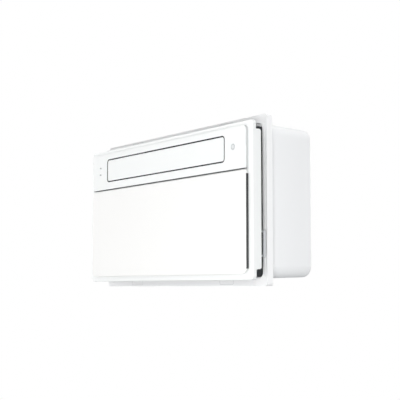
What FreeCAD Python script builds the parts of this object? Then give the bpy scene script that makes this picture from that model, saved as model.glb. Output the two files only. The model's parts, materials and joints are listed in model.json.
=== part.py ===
# Slim through-the-wall window air conditioner.
# The frame's origin is the middle of the mounting flange's back face: +X right, +Y into the wall, +Z up.
# The room side faces -Y. All sizes are in millimetres.
import FreeCAD, Part
import math
import os
from types import SimpleNamespace

import Sketcher
from FreeCAD import Placement, Rotation, Vector

doc = FreeCAD.newDocument("WindowAirConditioner")

# Driving sizes: name, value, meaning. Each goes into its own aliased cell.
drivingSizes = [
    ("flangeWidth", 650, "mounting flange, overall width"),
    ("flangeHeight", 359.5, "mounting flange, overall height"),
    ("flangeThickness", 15, "mounting flange, front to back"),
    ("flangeCorner", 6, "mounting flange, corner radius"),
    ("rimSide", 13.5, "raised rim at the flange's sides"),
    ("rimEnd", 17, "raised rim at the flange's top and bottom"),
    ("recessDepth", 8, "depth of the recess inside the rim"),
    ("recessCorner", 14, "corner radius of that recess"),
    ("grooveInset", 6, "side groove, distance from the flange's edge"),
    ("grooveWidth", 1.2, "side groove, width"),
    ("grooveDepth", 0.8, "side groove, depth"),
    ("rebateDepth", 4, "rebate that takes the rear case"),
    ("seatGap", 0.3, "clearance between pieces that are put together"),
    ("screwSpread", 184, "wall screws, distance from the middle"),
    ("screwInset", 8.5, "wall screws, distance from the flange's edge"),
    ("wallScrewRadius", 2.25, "wall screw hole radius"),
    ("coverLength", 50, "screw cover pocket length"),
    ("coverHeight", 11, "screw cover pocket height"),
    ("coverCorner", 4, "screw cover pocket corner radius"),
    ("coverDepth", 2, "screw cover pocket depth"),
    ("pegSpread", 17, "screw cover peg, distance from the cover's middle"),
    ("pegRadius", 1.4, "screw cover peg radius"),
    ("pegLength", 4, "screw cover peg length"),
    ("caseInset", 15.5, "rear case, distance in from the flange's edge"),
    ("caseDepth", 127, "rear case, depth behind the flange"),
    ("caseWall", 2.5, "rear case wall"),
    ("caseCorner", 25, "rear case corner radius"),
    ("caseRearRound", 10, "rounding of the rear case's back edge"),
    ("caseDraft", 1.6, "rear case draft in degrees"),
    ("gasketThickness", 1.5, "case gasket thickness"),
    ("gasketWidth", 6, "case gasket width"),
    ("bezelOverhang", 9, "front bezel, how far it passes the flange at each side"),
    ("bezelEndInset", 14.75, "front bezel, how far it stops short of the flange's height"),
    ("bezelDrop", 2.75, "front bezel, how far its middle is below the flange's"),
    ("bezelStandoff", 44.5, "front bezel face to flange face"),
    ("bezelCorner", 9, "front bezel corner radius"),
    ("lipThickness", 9, "front bezel lip, front to back"),
    ("bezelWall", 3, "front bezel wall"),
    ("skirtDepth", 22, "bezel side wall, from the bezel's face to its rear edge"),
    ("skirtTopInset", 19, "bezel side wall, distance below the bezel's top"),
    ("skirtBottomInset", 22, "bezel side wall, distance above the bezel's bottom"),
    ("skirtCorner", 5, "bezel side wall, rear corner radius"),
    ("panelProud", 7.3, "front panels, how far they stand in front of the bezel"),
    ("panelInset", 14.5, "front panels, distance in from the bezel's sides"),
    ("panelTopInset", 10, "upper panel, distance below the bezel's top"),
    ("panelBottomInset", 12.3, "intake panel, distance above the bezel's bottom"),
    ("panelGap", 3.5, "gap between the two front panels"),
    ("upperPanelHeight", 89.6, "upper panel height"),
    ("upperPanelWall", 2, "upper panel front wall"),
    ("upperPanelSide", 4, "upper panel side wall"),
    ("upperPanelCorner", 11, "upper panel top corner radius"),
    ("intakePanelThickness", 2.8, "intake panel thickness"),
    ("intakePanelCorner", 15, "intake panel bottom corner radius"),
    ("smallCorner", 2, "small corner radius of the panels"),
    ("edgeRound", 0.8, "rounding of the panels' front edges"),
    ("hingeDepth", 3.5, "intake panel hinge axis, behind the panel's face"),
    ("hingeDrop", 3, "intake panel hinge axis, below the panel's top edge"),
    ("hingeSpread", 230, "intake panel hinge spacing"),
    ("hingePinRadius", 1, "intake panel hinge pin radius"),
    ("hingePinLength", 24, "intake panel hinge pin length"),
    ("knuckleRadius", 2, "hinge knuckle radius"),
    ("knuckleLength", 8, "hinge knuckle length"),
    ("notchSkin", 1.2, "panel skin left in front of a hinge knuckle"),
    ("runningGap", 0.05, "radial clearance of a turning pin"),
    ("flapMargin", 74.5, "outlet flap, distance in from the upper panel's ends"),
    ("flapHeight", 52, "outlet flap height"),
    ("flapDrop", 17, "outlet flap, distance below the upper panel's top"),
    ("flapGap", 2.2, "gap around the outlet flap"),
    ("flapThickness", 2.2, "outlet flap thickness"),
    ("flapCorner", 6, "outlet flap corner radius"),
    ("flapAxisDepth", 5, "outlet flap axis, behind its face"),
    ("flapAxisRise", 10, "outlet flap axis, above its bottom edge"),
    ("flapPinRadius", 1.75, "outlet flap pin radius"),
    ("flapPinReach", 7, "outlet flap pin, past the flap's end"),
    ("lugWidth", 4, "outlet flap lug width"),
    ("lugHeight", 9, "outlet flap lug height"),
    ("ribHeight", 3, "outlet flap stiffening rib, how far it stands up"),
    ("lightStart", 62, "status light, distance from the flap's left end"),
    ("lightLength", 110, "status light length"),
    ("lightHeight", 1.2, "status light height"),
    ("windowInset", 43, "receiver window, distance in from the upper panel's right end"),
    ("windowDrop", 42, "receiver window, distance below the upper panel's top"),
    ("windowRadius", 7, "receiver window radius"),
    ("lampInset", 33, "indicator lamps, distance in from the upper panel's left end"),
    ("lampSpacing", 16.5, "indicator lamp spacing"),
    ("lampRadius", 1.4, "indicator lamp radius"),
    ("boardThickness", 1.2, "circuit board thickness"),
    ("outletMargin", 25, "bezel outlet opening, distance past each end of the flap"),
    ("outletRaise", 7, "bezel outlet opening, distance above and below the flap"),
    ("intakeSide", 3, "bezel intake opening, distance in from the panel's sides"),
    ("intakeTop", 8.2, "bezel intake opening, distance below the intake panel's top"),
    ("intakeBottom", 11.7, "bezel intake opening, distance above the intake panel's bottom"),
    ("grilleThickness", 2.2, "intake grille thickness"),
    ("grilleFrame", 6, "intake grille frame width"),
    ("grilleBar", 2, "intake grille bar width"),
    ("grilleRows", 7, "intake grille, rows of openings"),
    ("grilleColumns", 9, "intake grille, columns of openings"),
    ("plenumInset", 34, "intake plenum, distance in from the bezel's sides"),
    ("plenumEndInset", 7, "intake plenum, distance in from the bezel's top and bottom"),
    ("plenumWall", 3, "intake plenum wall"),
    ("bossSize", 12, "screw boss size"),
    ("bezelScrewRadius", 1.5, "bezel screw radius"),
    ("bezelScrewHead", 3, "bezel screw head radius"),
    ("bezelScrewLength", 14, "bezel screw length"),
    ("bezelScrewInset", 2, "bezel screw boss, gap to the plenum's top and bottom walls"),
    ("pipeHoleGap", 4, "clearance around a pipe where it goes through a wall"),
    ("filterThickness", 6, "air filter frame thickness"),
    ("filterStandoff", 6, "air filter, gap in front of the flange's face"),
    ("filterBar", 7, "air filter frame bar"),
    ("filterDrop", 10, "air filter, distance below the duct end plates"),
    ("filterHeight", 200, "air filter height"),
    ("filterGap", 0.4, "air filter running clearance"),
    ("meshThickness", 0.8, "air filter mesh thickness"),
    ("tabBottom", 41, "filter pull tab, distance above the plenum's outside bottom"),
    ("tabLength", 54, "filter pull tab length"),
    ("tabWidth", 4, "filter pull tab width"),
    ("tabReach", 29, "filter pull tab, how far it stands out of the plenum"),
    ("housingEndGap", 1, "gap between the flange's opening and the indoor housing"),
    ("housingInset", 30, "indoor housing, distance in from the flange's sides"),
    ("housingEndInset", 29, "indoor housing, distance in from the flange's top and bottom"),
    ("housingDepth", 38, "indoor housing, depth behind the flange's back"),
    ("housingWall", 2.5, "indoor housing wall"),
    ("insulationThickness", 3, "insulation thickness"),
    ("rotorRadius", 29, "crossflow rotor radius"),
    ("rotorRise", 14, "crossflow rotor axis, above the flap's bottom edge"),
    ("rotorEndGap", 3, "gap between the rotor and the duct's end plates"),
    ("rotorShaftRadius", 4, "crossflow rotor shaft radius"),
    ("rotorDisc", 2, "crossflow rotor disc thickness"),
    ("rotorBlades", 24, "crossflow rotor blade count"),
    ("scrollGap", 4, "gap between the rotor and the scroll"),
    ("sheetWall", 2, "scroll and outlet floor wall"),
    ("ductEnd", 2.5, "duct end plate thickness"),
    ("ductEndDrop", 34, "duct end plate, how far it reaches below the rotor's axis"),
    ("ductEndRise", 43, "duct end plate, how far it reaches above the rotor's axis"),
    ("mouthDepth", 11, "duct mouth, distance in front of the swing vanes' axis"),
    ("floorDrop", 2.5, "outlet floor, distance below the flap's bottom edge"),
    ("ductEndGap", 2, "gap between the flap's end and the duct's end plate"),
    ("vanePitch", 78, "swing vane spacing"),
    ("vaneDepth", 18, "swing vane front to back"),
    ("vaneThickness", 1.6, "swing vane thickness"),
    ("vaneAxis", 40, "swing vane axis, in front of the flange's back"),
    ("vanePinRadius", 1.5, "swing vane pin radius"),
    ("linkArm", 7, "swing vane link pin, distance behind its axis"),
    ("linkPinRadius", 1.2, "swing vane link pin radius"),
    ("linkThickness", 2.5, "vane link bar thickness"),
    ("linkWidth", 7, "vane link bar width"),
    ("swingMotorRadius", 6.5, "swing motor radius"),
    ("swingMotorHeight", 14, "swing motor height"),
    ("flapMotorRadius", 10, "flap motor radius"),
    ("flapMotorOffset", 8, "flap motor, distance of its case behind its shaft"),
    ("flapMotorLength", 16, "flap motor length"),
    ("blowerMotorRadius", 30, "blower motor radius"),
    ("blowerMotorLength", 34, "blower motor length"),
    ("bearingRadius", 9, "rotor bearing outer radius"),
    ("coilTubeRadius", 3.5, "heat exchanger tube radius"),
    ("evaporatorRows", 8, "evaporator tube rows"),
    ("evaporatorDepth", 24, "evaporator fin depth"),
    ("evaporatorFront", 14, "evaporator, distance in front of the flange's back"),
    ("evaporatorEndRoom", 33, "evaporator, room left at each end of the housing"),
    ("evaporatorHeight", 188, "evaporator height"),
    ("panHeight", 6, "drain pan height"),
    ("panWall", 1.5, "drain pan wall"),
    ("fanHubRadius", 30, "outdoor fan hub radius"),
    ("fanRadius", 103, "outdoor fan blade tip radius"),
    ("fanCentre", 66, "outdoor fan axis, right of the middle"),
    ("fanDepth", 24, "outdoor fan depth"),
    ("fanBlades", 6, "outdoor fan blade count"),
    ("fanShaftRadius", 4, "outdoor fan shaft radius"),
    ("fanMotorRadius", 34, "outdoor fan motor radius"),
    ("fanMotorLength", 26, "outdoor fan motor length"),
    ("shroudGap", 6, "gap between the fan and its shroud"),
    ("bracketWall", 2.2, "fan motor bracket sheet"),
    ("shroudWall", 2, "fan shroud wall"),
    ("shroudSquare", 112, "half the side of the fan shroud's plate"),
    ("guardRings", 8, "fan guard ring count"),
    ("guardWire", 2, "fan guard ring width"),
    ("condenserRows", 12, "condenser tube rows"),
    ("condenserWidth", 215, "condenser fin width"),
    ("condenserDepth", 20, "condenser fin depth"),
    ("condenserRearGap", 10, "condenser, gap to the case's back"),
    ("condenserSideRoom", 26, "condenser, room to the case's left side"),
    ("condenserEndRoom", 26, "condenser, room above and below it inside the case"),
    ("louvrePitch", 12, "condenser grille louvre spacing"),
    ("louvreWall", 2, "condenser grille louvre thickness"),
    ("compressorRadius", 33, "compressor radius"),
    ("compressorHeight", 150, "compressor height"),
    ("compressorInset", 92, "compressor axis, distance in from the flange's right side"),
    ("accumulatorRadius", 13, "accumulator radius"),
    ("accumulatorHeight", 96, "accumulator height"),
    ("accumulatorInset", 39, "accumulator axis, distance in from the flange's right side"),
    ("pipeRadius", 3.5, "refrigerant pipe radius"),
    ("liquidPipeRadius", 2, "liquid pipe radius"),
    ("pipeBend", 10, "refrigerant pipe bend radius"),
    ("basePanThickness", 1.5, "base pan sheet thickness"),
    ("basePanRise", 22, "base pan, distance above the flange's bottom edge"),
    ("grommetHeight", 9, "compressor grommet height"),
    ("grommetSpreadX", 22, "compressor grommets, distance left and right of its axis"),
    ("grommetSpreadY", 10, "compressor grommets, distance in front of and behind its axis"),
    ("glandRadius", 9, "cable gland radius"),
    ("glandLength", 3, "cable gland, how far it stands out of the case"),
]

sheet = doc.addObject("Spreadsheet::Sheet", "Sizes")
for row, (alias, number, meaning) in enumerate(drivingSizes, start=1):
    sheet.set(f"A{row}", alias)
    sheet.set(f"B{row}", str(number))
    sheet.set(f"C{row}", meaning)
    sheet.setAlias(f"B{row}", alias)
doc.recompute()


class Size:
    # A size as a sheet expression, with its value beside it.
    def __init__(self, text, value):
        self.text = text
        self.value = float(value)

    def __add__(self, other):
        return Size(f"({self.text} + {lift(other).text})", self.value + lift(other).value)

    def __sub__(self, other):
        return Size(f"({self.text} - {lift(other).text})", self.value - lift(other).value)

    def __mul__(self, other):
        return Size(f"({self.text} * {lift(other).text})", self.value * lift(other).value)

    def __truediv__(self, other):
        return Size(f"({self.text} / {lift(other).text})", self.value / lift(other).value)

    def __neg__(self):
        return Size(f"(0 - {self.text})", -self.value)

    def __radd__(self, other):
        return lift(other) + self

    def __rsub__(self, other):
        return lift(other) - self

    def __rmul__(self, other):
        return lift(other) * self


def lift(item):
    return item if isinstance(item, Size) else Size(repr(float(item)), item)


def tangent(angle):
    return Size(f"tan({angle.text} * 1 deg)", math.tan(math.radians(angle.value)))


d = SimpleNamespace(**{alias: Size("Sizes." + alias, number) for alias, number, _ in drivingSizes})

# Places that several pieces share, worked out from the driving sizes.
flangeFront = -d.flangeThickness
webFront = flangeFront + d.recessDepth
bezelFront = flangeFront - d.bezelStandoff
bezelFloorBack = bezelFront + d.bezelWall
panelFront = bezelFront - d.panelProud
bezelHalfWidth = d.flangeWidth / 2 + d.bezelOverhang
bezelTop = d.flangeHeight / 2 - d.bezelEndInset - d.bezelDrop
bezelBottom = -d.flangeHeight / 2 + d.bezelEndInset - d.bezelDrop
panelHalfWidth = bezelHalfWidth - d.panelInset
panelTop = bezelTop - d.panelTopInset
upperPanelBottom = panelTop - d.upperPanelHeight
intakePanelTop = upperPanelBottom - d.panelGap
intakePanelBottom = bezelBottom + d.panelBottomInset
hingeY = panelFront + d.hingeDepth
hingeZ = intakePanelTop - d.hingeDrop
flapHalfWidth = panelHalfWidth - d.flapMargin
flapTop = panelTop - d.flapDrop
flapBottom = flapTop - d.flapHeight
flapY = panelFront + d.flapAxisDepth
flapZ = flapBottom + d.flapAxisRise
outletHalfWidth = flapHalfWidth + d.outletMargin
outletTop = flapTop + d.outletRaise
outletBottom = flapBottom - d.outletRaise
ductInner = flapHalfWidth + d.ductEndGap
ductOuter = ductInner + d.ductEnd
rotorZ = flapBottom + d.rotorRise
ductBottom = rotorZ - d.ductEndDrop
ductTop = rotorZ + d.ductEndRise
ductMouth = -d.vaneAxis - d.mouthDepth
scrollInner = d.rotorRadius + d.scrollGap
scrollOuter = scrollInner + d.sheetWall
floorTop = flapBottom - d.floorDrop
floorBottom = floorTop - d.sheetWall
roofBottom = rotorZ + scrollInner
roofTop = roofBottom + d.sheetWall
plenumHalfWidth = bezelHalfWidth - d.plenumInset
plenumTop = bezelTop - d.plenumEndInset
plenumBottom = bezelBottom + d.plenumEndInset
plenumFront = bezelFloorBack + d.seatGap
filterBack = flangeFront - d.filterStandoff
filterFront = filterBack - d.filterThickness
filterTop = ductBottom - d.filterDrop
filterBottom = filterTop - d.filterHeight
housingHalfWidth = d.flangeWidth / 2 - d.housingInset
housingTop = d.flangeHeight / 2 - d.housingEndInset
housingBottom = -housingTop
housingFront = webFront + d.seatGap
housingBackInner = d.housingDepth - d.housingWall
caseHalfWidth = d.flangeWidth / 2 - d.caseInset
caseHalfHeight = d.flangeHeight / 2 - d.caseInset
caseFront = -d.rebateDepth + d.gasketThickness
caseRearInner = d.caseDepth - d.caseWall
vaneY = -d.vaneAxis
linkY = vaneY + d.linkArm
linkBottom = floorTop + 0.5
linkTop = linkBottom + d.linkThickness
vaneBottom = linkTop + 1.5
vaneTop = roofBottom - 2
fanZ = lift(0)
outdoorFront = d.housingDepth + d.insulationThickness + d.seatGap
basePanTop = -d.flangeHeight / 2 + d.basePanRise + d.basePanThickness
compressorX = d.flangeWidth / 2 - d.compressorInset
accumulatorX = d.flangeWidth / 2 - d.accumulatorInset
compressorY = (outdoorFront + caseRearInner) / 2

pieces = []


def keep(feature, label):
    feature.Label = label
    pieces.append((label, feature))
    return feature


# Bodies: a sketch on one of the body's own planes, then pads, pockets and fillets.
def newBody(label):
    body = doc.addObject("PartDesign::Body", label)
    return keep(body, label)


def newSketch(body, role, offset=0):
    sketch = body.newObject("Sketcher::SketchObject", body.Name + "_sketch")
    plane = next(item for item in body.Origin.OriginFeatures if item.Role == role)
    sketch.AttachmentSupport = (plane, [""])
    sketch.MapMode = "FlatFace"
    sketch.setExpression("AttachmentOffset.Base.z", lift(offset).text)
    return sketch


def dimension(sketch, kind, *parts):
    # The last part is the size; the rest say which geometry it measures.
    index = sketch.addConstraint(Sketcher.Constraint(kind, *parts[:-1], parts[-1].value))
    sketch.setExpression(f"Constraints[{index}]", parts[-1].text)


def pin(sketch, geometry, end, x, y):
    dimension(sketch, "DistanceX", -1, 1, geometry, end, lift(x))
    dimension(sketch, "DistanceY", -1, 1, geometry, end, lift(y))


def polygon(sketch, points):
    points = [(lift(x), lift(y)) for x, y in points]
    first = sketch.GeometryCount
    for start, end in zip(points, points[1:] + points[:1]):
        line = Part.LineSegment(
            Vector(start[0].value, start[1].value, 0), Vector(end[0].value, end[1].value, 0)
        )
        sketch.addGeometry(line, False)
    for step, (x, y) in enumerate(points):
        following = first + (step + 1) % len(points)
        sketch.addConstraint(Sketcher.Constraint("Coincident", first + step, 2, following, 1))
        pin(sketch, first + step, 1, x, y)


def rectangle(sketch, left, bottom, right, top):
    polygon(sketch, [(left, bottom), (right, bottom), (right, top), (left, top)])


def circle(sketch, x, y, radius):
    centre = Vector(lift(x).value, lift(y).value, 0)
    geometry = sketch.addGeometry(Part.Circle(centre, Vector(0, 0, 1), radius.value), False)
    dimension(sketch, "Radius", geometry, radius)
    pin(sketch, geometry, 3, x, y)


def pad(body, sketch, length, reverse=False, symmetric=False, taper=None):
    feature = body.newObject("PartDesign::Pad", body.Name + "_pad")
    feature.Profile = sketch
    feature.setExpression("Length", lift(length).text)
    feature.Reversed = reverse
    feature.SideType = "Symmetric" if symmetric else "One side"
    if taper is not None:
        feature.setExpression("TaperAngle", taper.text)
    doc.recompute()
    return feature


def pocket(body, sketch, length, reverse=False, symmetric=False, taper=None):
    before = body.Tip.Shape.Volume
    feature = body.newObject("PartDesign::Pocket", body.Name + "_pocket")
    feature.Profile = sketch
    feature.setExpression("Length", lift(length).text)
    feature.Reversed = reverse
    feature.SideType = "Symmetric" if symmetric else "One side"
    if taper is not None:
        feature.setExpression("TaperAngle", taper.text)
    doc.recompute()
    if feature.Shape.Volume > before - 1e-3:
        raise RuntimeError(f"{feature.Name} cuts nothing")
    return feature


def roundEdges(body, radius, chosen):
    tip = body.Tip
    names = [f"Edge{n}" for n, edge in enumerate(tip.Shape.Edges, 1) if chosen(edge.BoundBox)]
    feature = body.newObject("PartDesign::Fillet", body.Name + "_fillet")
    feature.Base = (tip, names)
    feature.setExpression("Radius", radius.text)
    doc.recompute()
    return feature


def near(number, place):
    return abs(number - lift(place).value) < 0.01


def alongY(box, x, z):
    # True for a straight edge that runs front to back at x, z.
    return near(box.XMin, x) and near(box.XMax, x) and near(box.ZMin, z) and near(box.ZMax, z)


def onPlane(box, y):
    return near(box.YMin, y) and near(box.YMax, y)


# Part primitives: boxes and cylinders with every size and place bound to the sheet.
def place(feature, x, y, z):
    for axis, size in (("x", x), ("y", y), ("z", z)):
        feature.setExpression(f"Placement.Base.{axis}", lift(size).text)


def block(name, low, high):
    feature = doc.addObject("Part::Box", name)
    for prop, start, end in zip(("Length", "Width", "Height"), low, high):
        feature.setExpression(prop, (lift(end) - start).text)
    place(feature, *low)
    return feature


turns = {
    "X": Rotation(Vector(1, 1, 1), 120),
    "Y": Rotation(Vector(1, 1, 1), 240),
    "Z": Rotation(),
}


def rod(name, axis, start, radius, length):
    feature = doc.addObject("Part::Cylinder", name)
    feature.Placement = Placement(Vector(), turns[axis])
    feature.setExpression("Radius", lift(radius).text)
    feature.setExpression("Height", lift(length).text)
    place(feature, *start)
    return feature


def joined(name, features):
    result = doc.addObject("Part::MultiFuse", name)
    result.Shapes = features
    return result


def without(name, base, tools):
    result = doc.addObject("Part::Cut", name)
    result.Base = base
    result.Tool = tools[0] if len(tools) == 1 else joined(name + "_tools", tools)
    return result


def group(name, features):
    # Separate solids that share one node.
    result = doc.addObject("Part::Compound", name)
    result.Links = features
    return result


def mirrored(x):
    return (-x, x)


# Frame and case -------------------------------------------------------------
def mountingFlange():
    body = newBody("mounting_flange")
    halfWidth, halfHeight = d.flangeWidth / 2, d.flangeHeight / 2
    plate = newSketch(body, "XZ_Plane")
    rectangle(plate, -halfWidth, -halfHeight, halfWidth, halfHeight)
    pad(body, plate, d.flangeThickness)
    corners = [(x.value, z.value) for x in mirrored(halfWidth) for z in mirrored(halfHeight)]
    roundEdges(body, d.flangeCorner, lambda box: any(alongY(box, x, z) for x, z in corners))
    recess = newSketch(body, "XZ_Plane", d.flangeThickness)
    recessX, recessZ = halfWidth - d.rimSide, halfHeight - d.rimEnd
    rectangle(recess, -recessX, -recessZ, recessX, recessZ)
    pocket(body, recess, d.recessDepth)
    inner = [(x.value, z.value) for x in mirrored(recessX) for z in mirrored(recessZ)]
    roundEdges(body, d.recessCorner, lambda box: any(alongY(box, x, z) for x, z in inner))
    rebate = newSketch(body, "XZ_Plane")
    rebateX, rebateZ = caseHalfWidth + d.seatGap, caseHalfHeight + d.seatGap
    rectangle(rebate, -rebateX, -rebateZ, rebateX, rebateZ)
    pocket(body, rebate, d.rebateDepth, reverse=True)
    seat = [(x.value, z.value) for x in mirrored(rebateX) for z in mirrored(rebateZ)]
    roundEdges(body, d.caseCorner, lambda box: any(alongY(box, x, z) for x, z in seat))
    opening = newSketch(body, "XZ_Plane")
    openX, openZ = housingHalfWidth + d.housingEndGap / 2, housingTop + d.housingEndGap / 2
    rectangle(opening, -openX, -openZ, openX, openZ)
    for x in mirrored(d.screwSpread):
        for z in mirrored(halfHeight - d.screwInset):
            circle(opening, x, z, d.wallScrewRadius)
            for side in mirrored(d.pegSpread):
                circle(opening, x + side, z, d.pegRadius + d.runningGap)
    pocket(body, opening, d.flangeThickness, reverse=True)
    covers = newSketch(body, "XZ_Plane", d.flangeThickness)
    for x in mirrored(d.screwSpread):
        for z in mirrored(halfHeight - d.screwInset):
            reachX, reachZ = d.coverLength / 2, d.coverHeight / 2
            rectangle(covers, x - reachX, z - reachZ, x + reachX, z + reachZ)
    pocket(body, covers, d.coverDepth)
    ends = [
        (x + sideX, z + sideZ)
        for x in mirrored(d.screwSpread) for z in mirrored(halfHeight - d.screwInset)
        for sideX in mirrored(d.coverLength / 2) for sideZ in mirrored(d.coverHeight / 2)
    ]
    roundEdges(body, d.coverCorner, lambda box: any(alongY(box, x, z) for x, z in ends))
    grooves = newSketch(body, "XZ_Plane", d.flangeThickness)
    for side in (-1, 1):
        outer = side * (halfWidth - d.grooveInset)
        inner = side * (halfWidth - d.grooveInset - d.grooveWidth)
        rectangle(grooves, outer, -recessZ, inner, recessZ)
    pocket(body, grooves, d.grooveDepth)


def screwCovers():
    halfHeight = d.flangeHeight / 2
    covers = []
    for x in mirrored(d.screwSpread):
        for z in mirrored(halfHeight - d.screwInset):
            name = f"cover_{len(covers)}"
            back = flangeFront + d.coverDepth
            low = (x - d.coverLength / 2 + d.seatGap, flangeFront, z - d.coverHeight / 2 + d.seatGap)
            high = (x + d.coverLength / 2 - d.seatGap, back, z + d.coverHeight / 2 - d.seatGap)
            plate = doc.addObject("Part::Fillet", name + "_plate")
            plate.Base = block(name + "_block", low, high)
            doc.recompute()
            rim = [
                number for number, edge in enumerate(plate.Base.Shape.Edges, 1)
                if abs(edge.BoundBox.YLength - d.coverDepth.value) < 0.01
            ]
            radius = d.coverCorner.value - d.seatGap.value
            plate.Edges = [(number, radius, radius) for number in rim]
            pegs = [
                rod(f"{name}_peg_{n}", "Y", (x + side, back, z), d.pegRadius, d.pegLength)
                for n, side in enumerate(mirrored(d.pegSpread))
            ]
            covers.append(joined(name, [plate] + pegs))
    keep(group("screw_covers", covers), "screw_covers")


def rearCase():
    body = newBody("rear_case")
    front = newSketch(body, "XZ_Plane", -caseFront)
    rectangle(front, -caseHalfWidth, -caseHalfHeight, caseHalfWidth, caseHalfHeight)
    pad(body, front, d.caseDepth - caseFront, reverse=True, taper=-d.caseDraft)
    hollow = newSketch(body, "XZ_Plane", -caseFront)
    insideX, insideZ = caseHalfWidth - d.caseWall, caseHalfHeight - d.caseWall
    rectangle(hollow, -insideX, -insideZ, insideX, insideZ)
    pocket(body, hollow, caseRearInner - caseFront, taper=-d.caseDraft)
    for back, inset in ((caseRearInner, d.caseWall), (d.caseDepth, lift(0))):
        roundEdges(
            body, d.caseCorner - inset,
            lambda box: near(box.YMax, back) and near(box.YMin, caseFront),
        )
        roundEdges(body, d.caseRearRound - inset, lambda box: onPlane(box, back))
    windows = newSketch(body, "XZ_Plane", -d.caseDepth)
    rectangle(windows, condenserLeft, condenserBottom, condenserRight, condenserTop)
    circle(windows, d.fanCentre, fanZ, guardRadius)
    circle(windows, glandX, glandZ, d.glandRadius)
    pocket(body, windows, d.caseWall * 2, reverse=True)


condenserLeft = -(caseHalfWidth - d.condenserSideRoom)
condenserRight = condenserLeft + d.condenserWidth
condenserTop = caseHalfHeight - d.condenserEndRoom
condenserBottom = -condenserTop
guardRadius = d.fanRadius + d.shroudGap
glandX = accumulatorX - 29
glandZ = -caseHalfHeight + 38


def caseGasket():
    body = newBody("case_gasket")
    ring = newSketch(body, "XZ_Plane", -caseFront)
    outerX, outerZ = caseHalfWidth - d.seatGap, caseHalfHeight - d.seatGap
    rectangle(ring, -outerX, -outerZ, outerX, outerZ)
    pad(body, ring, d.gasketThickness)
    inside = newSketch(body, "XZ_Plane", -caseFront)
    innerX, innerZ = outerX - d.gasketWidth, outerZ - d.gasketWidth
    rectangle(inside, -innerX, -innerZ, innerX, innerZ)
    pocket(body, inside, d.gasketThickness * 2, symmetric=True)
    for halfX, halfZ, radius in (
        (innerX, innerZ, d.caseCorner - d.gasketWidth), (outerX, outerZ, d.caseCorner)
    ):
        corners = [(x, z) for x in mirrored(halfX) for z in mirrored(halfZ)]
        roundEdges(body, radius, lambda box: any(alongY(box, x, z) for x, z in corners))


def condenserGrille():
    # A frame in the case's window, with sloping louvres between its sides.
    left, right = condenserLeft + d.seatGap, condenserRight - d.seatGap
    bottom, top = condenserBottom + d.seatGap, condenserTop - d.seatGap
    frame = 4
    back, front = d.caseDepth, caseRearInner - 1.5
    outer = block("grille_outer", (left, front, bottom), (right, back, top))
    inner = block(
        "grille_inner", (left + frame, front - 1, bottom + frame), (right - frame, back + 1, top - frame)
    )
    count = int((top - bottom - 2 * frame).value / d.louvrePitch.value)
    slats = [
        block(
            f"louvre_{n}",
            (left + 1, front, bottom + frame + d.louvrePitch * (n + 0.5)),
            (right - 1, back - 0.5, bottom + frame + d.louvrePitch * (n + 0.5) + d.louvreWall),
        )
        for n in range(count)
    ]
    mullions = [
        block(f"mullion_{n}", (x - 1.5, front, bottom + 1), (x + 1.5, back - 1, top - 1))
        for n, x in enumerate((left + (right - left) / 3, left + (right - left) * 2 / 3))
    ]
    ring = without("grille_frame", outer, [inner])
    keep(joined("condenser_grille", [ring] + slats + mullions), "condenser_grille")


def fanGuard():
    back, front = d.caseDepth, caseRearInner
    rim = guardRadius - d.seatGap
    pitch = (rim - d.fanHubRadius / 2) / d.guardRings
    rings = []
    for n in range(int(d.guardRings.value) + 1):
        outer = rim - pitch * n
        solid = rod(f"ring_{n}_outer", "Y", (d.fanCentre, front, fanZ), outer, back - front)
        hollow = rod(
            f"ring_{n}_inner", "Y", (d.fanCentre, front - 1, fanZ), outer - d.guardWire, back - front + 2
        )
        rings.append(without(f"guard_ring_{n}", solid, [hollow]))
    hub = rod("guard_hub", "Y", (d.fanCentre, front, fanZ), d.fanHubRadius / 2 + 1, back - front - 0.5)
    spokes = [
        block(
            "guard_spoke_0", (d.fanCentre - rim + 1, front, -1.5), (d.fanCentre + rim - 1, back - 0.5, 1.5)
        ),
        block(
            "guard_spoke_1", (d.fanCentre - 1.5, front, 1 - rim), (d.fanCentre + 1.5, back - 0.5, rim - 1)
        ),
    ]
    keep(joined("fan_guard", rings + [hub] + spokes), "fan_guard")


def cableGland():
    # A flanged bush in the case's back wall, open through its middle.
    collar = rod("gland_collar", "Y", (glandX, d.caseDepth, glandZ), d.glandRadius + 3, d.glandLength)
    stem = rod(
        "gland_stem", "Y", (glandX, caseRearInner - 4, glandZ), d.glandRadius - d.seatGap, d.caseWall + 4.5
    )
    hole = rod("gland_hole", "Y", (glandX, caseRearInner - 6, glandZ), d.glandRadius / 2, 20)
    keep(without("cable_gland", joined("gland_body", [collar, stem]), [hole]), "cable_gland")


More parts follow.
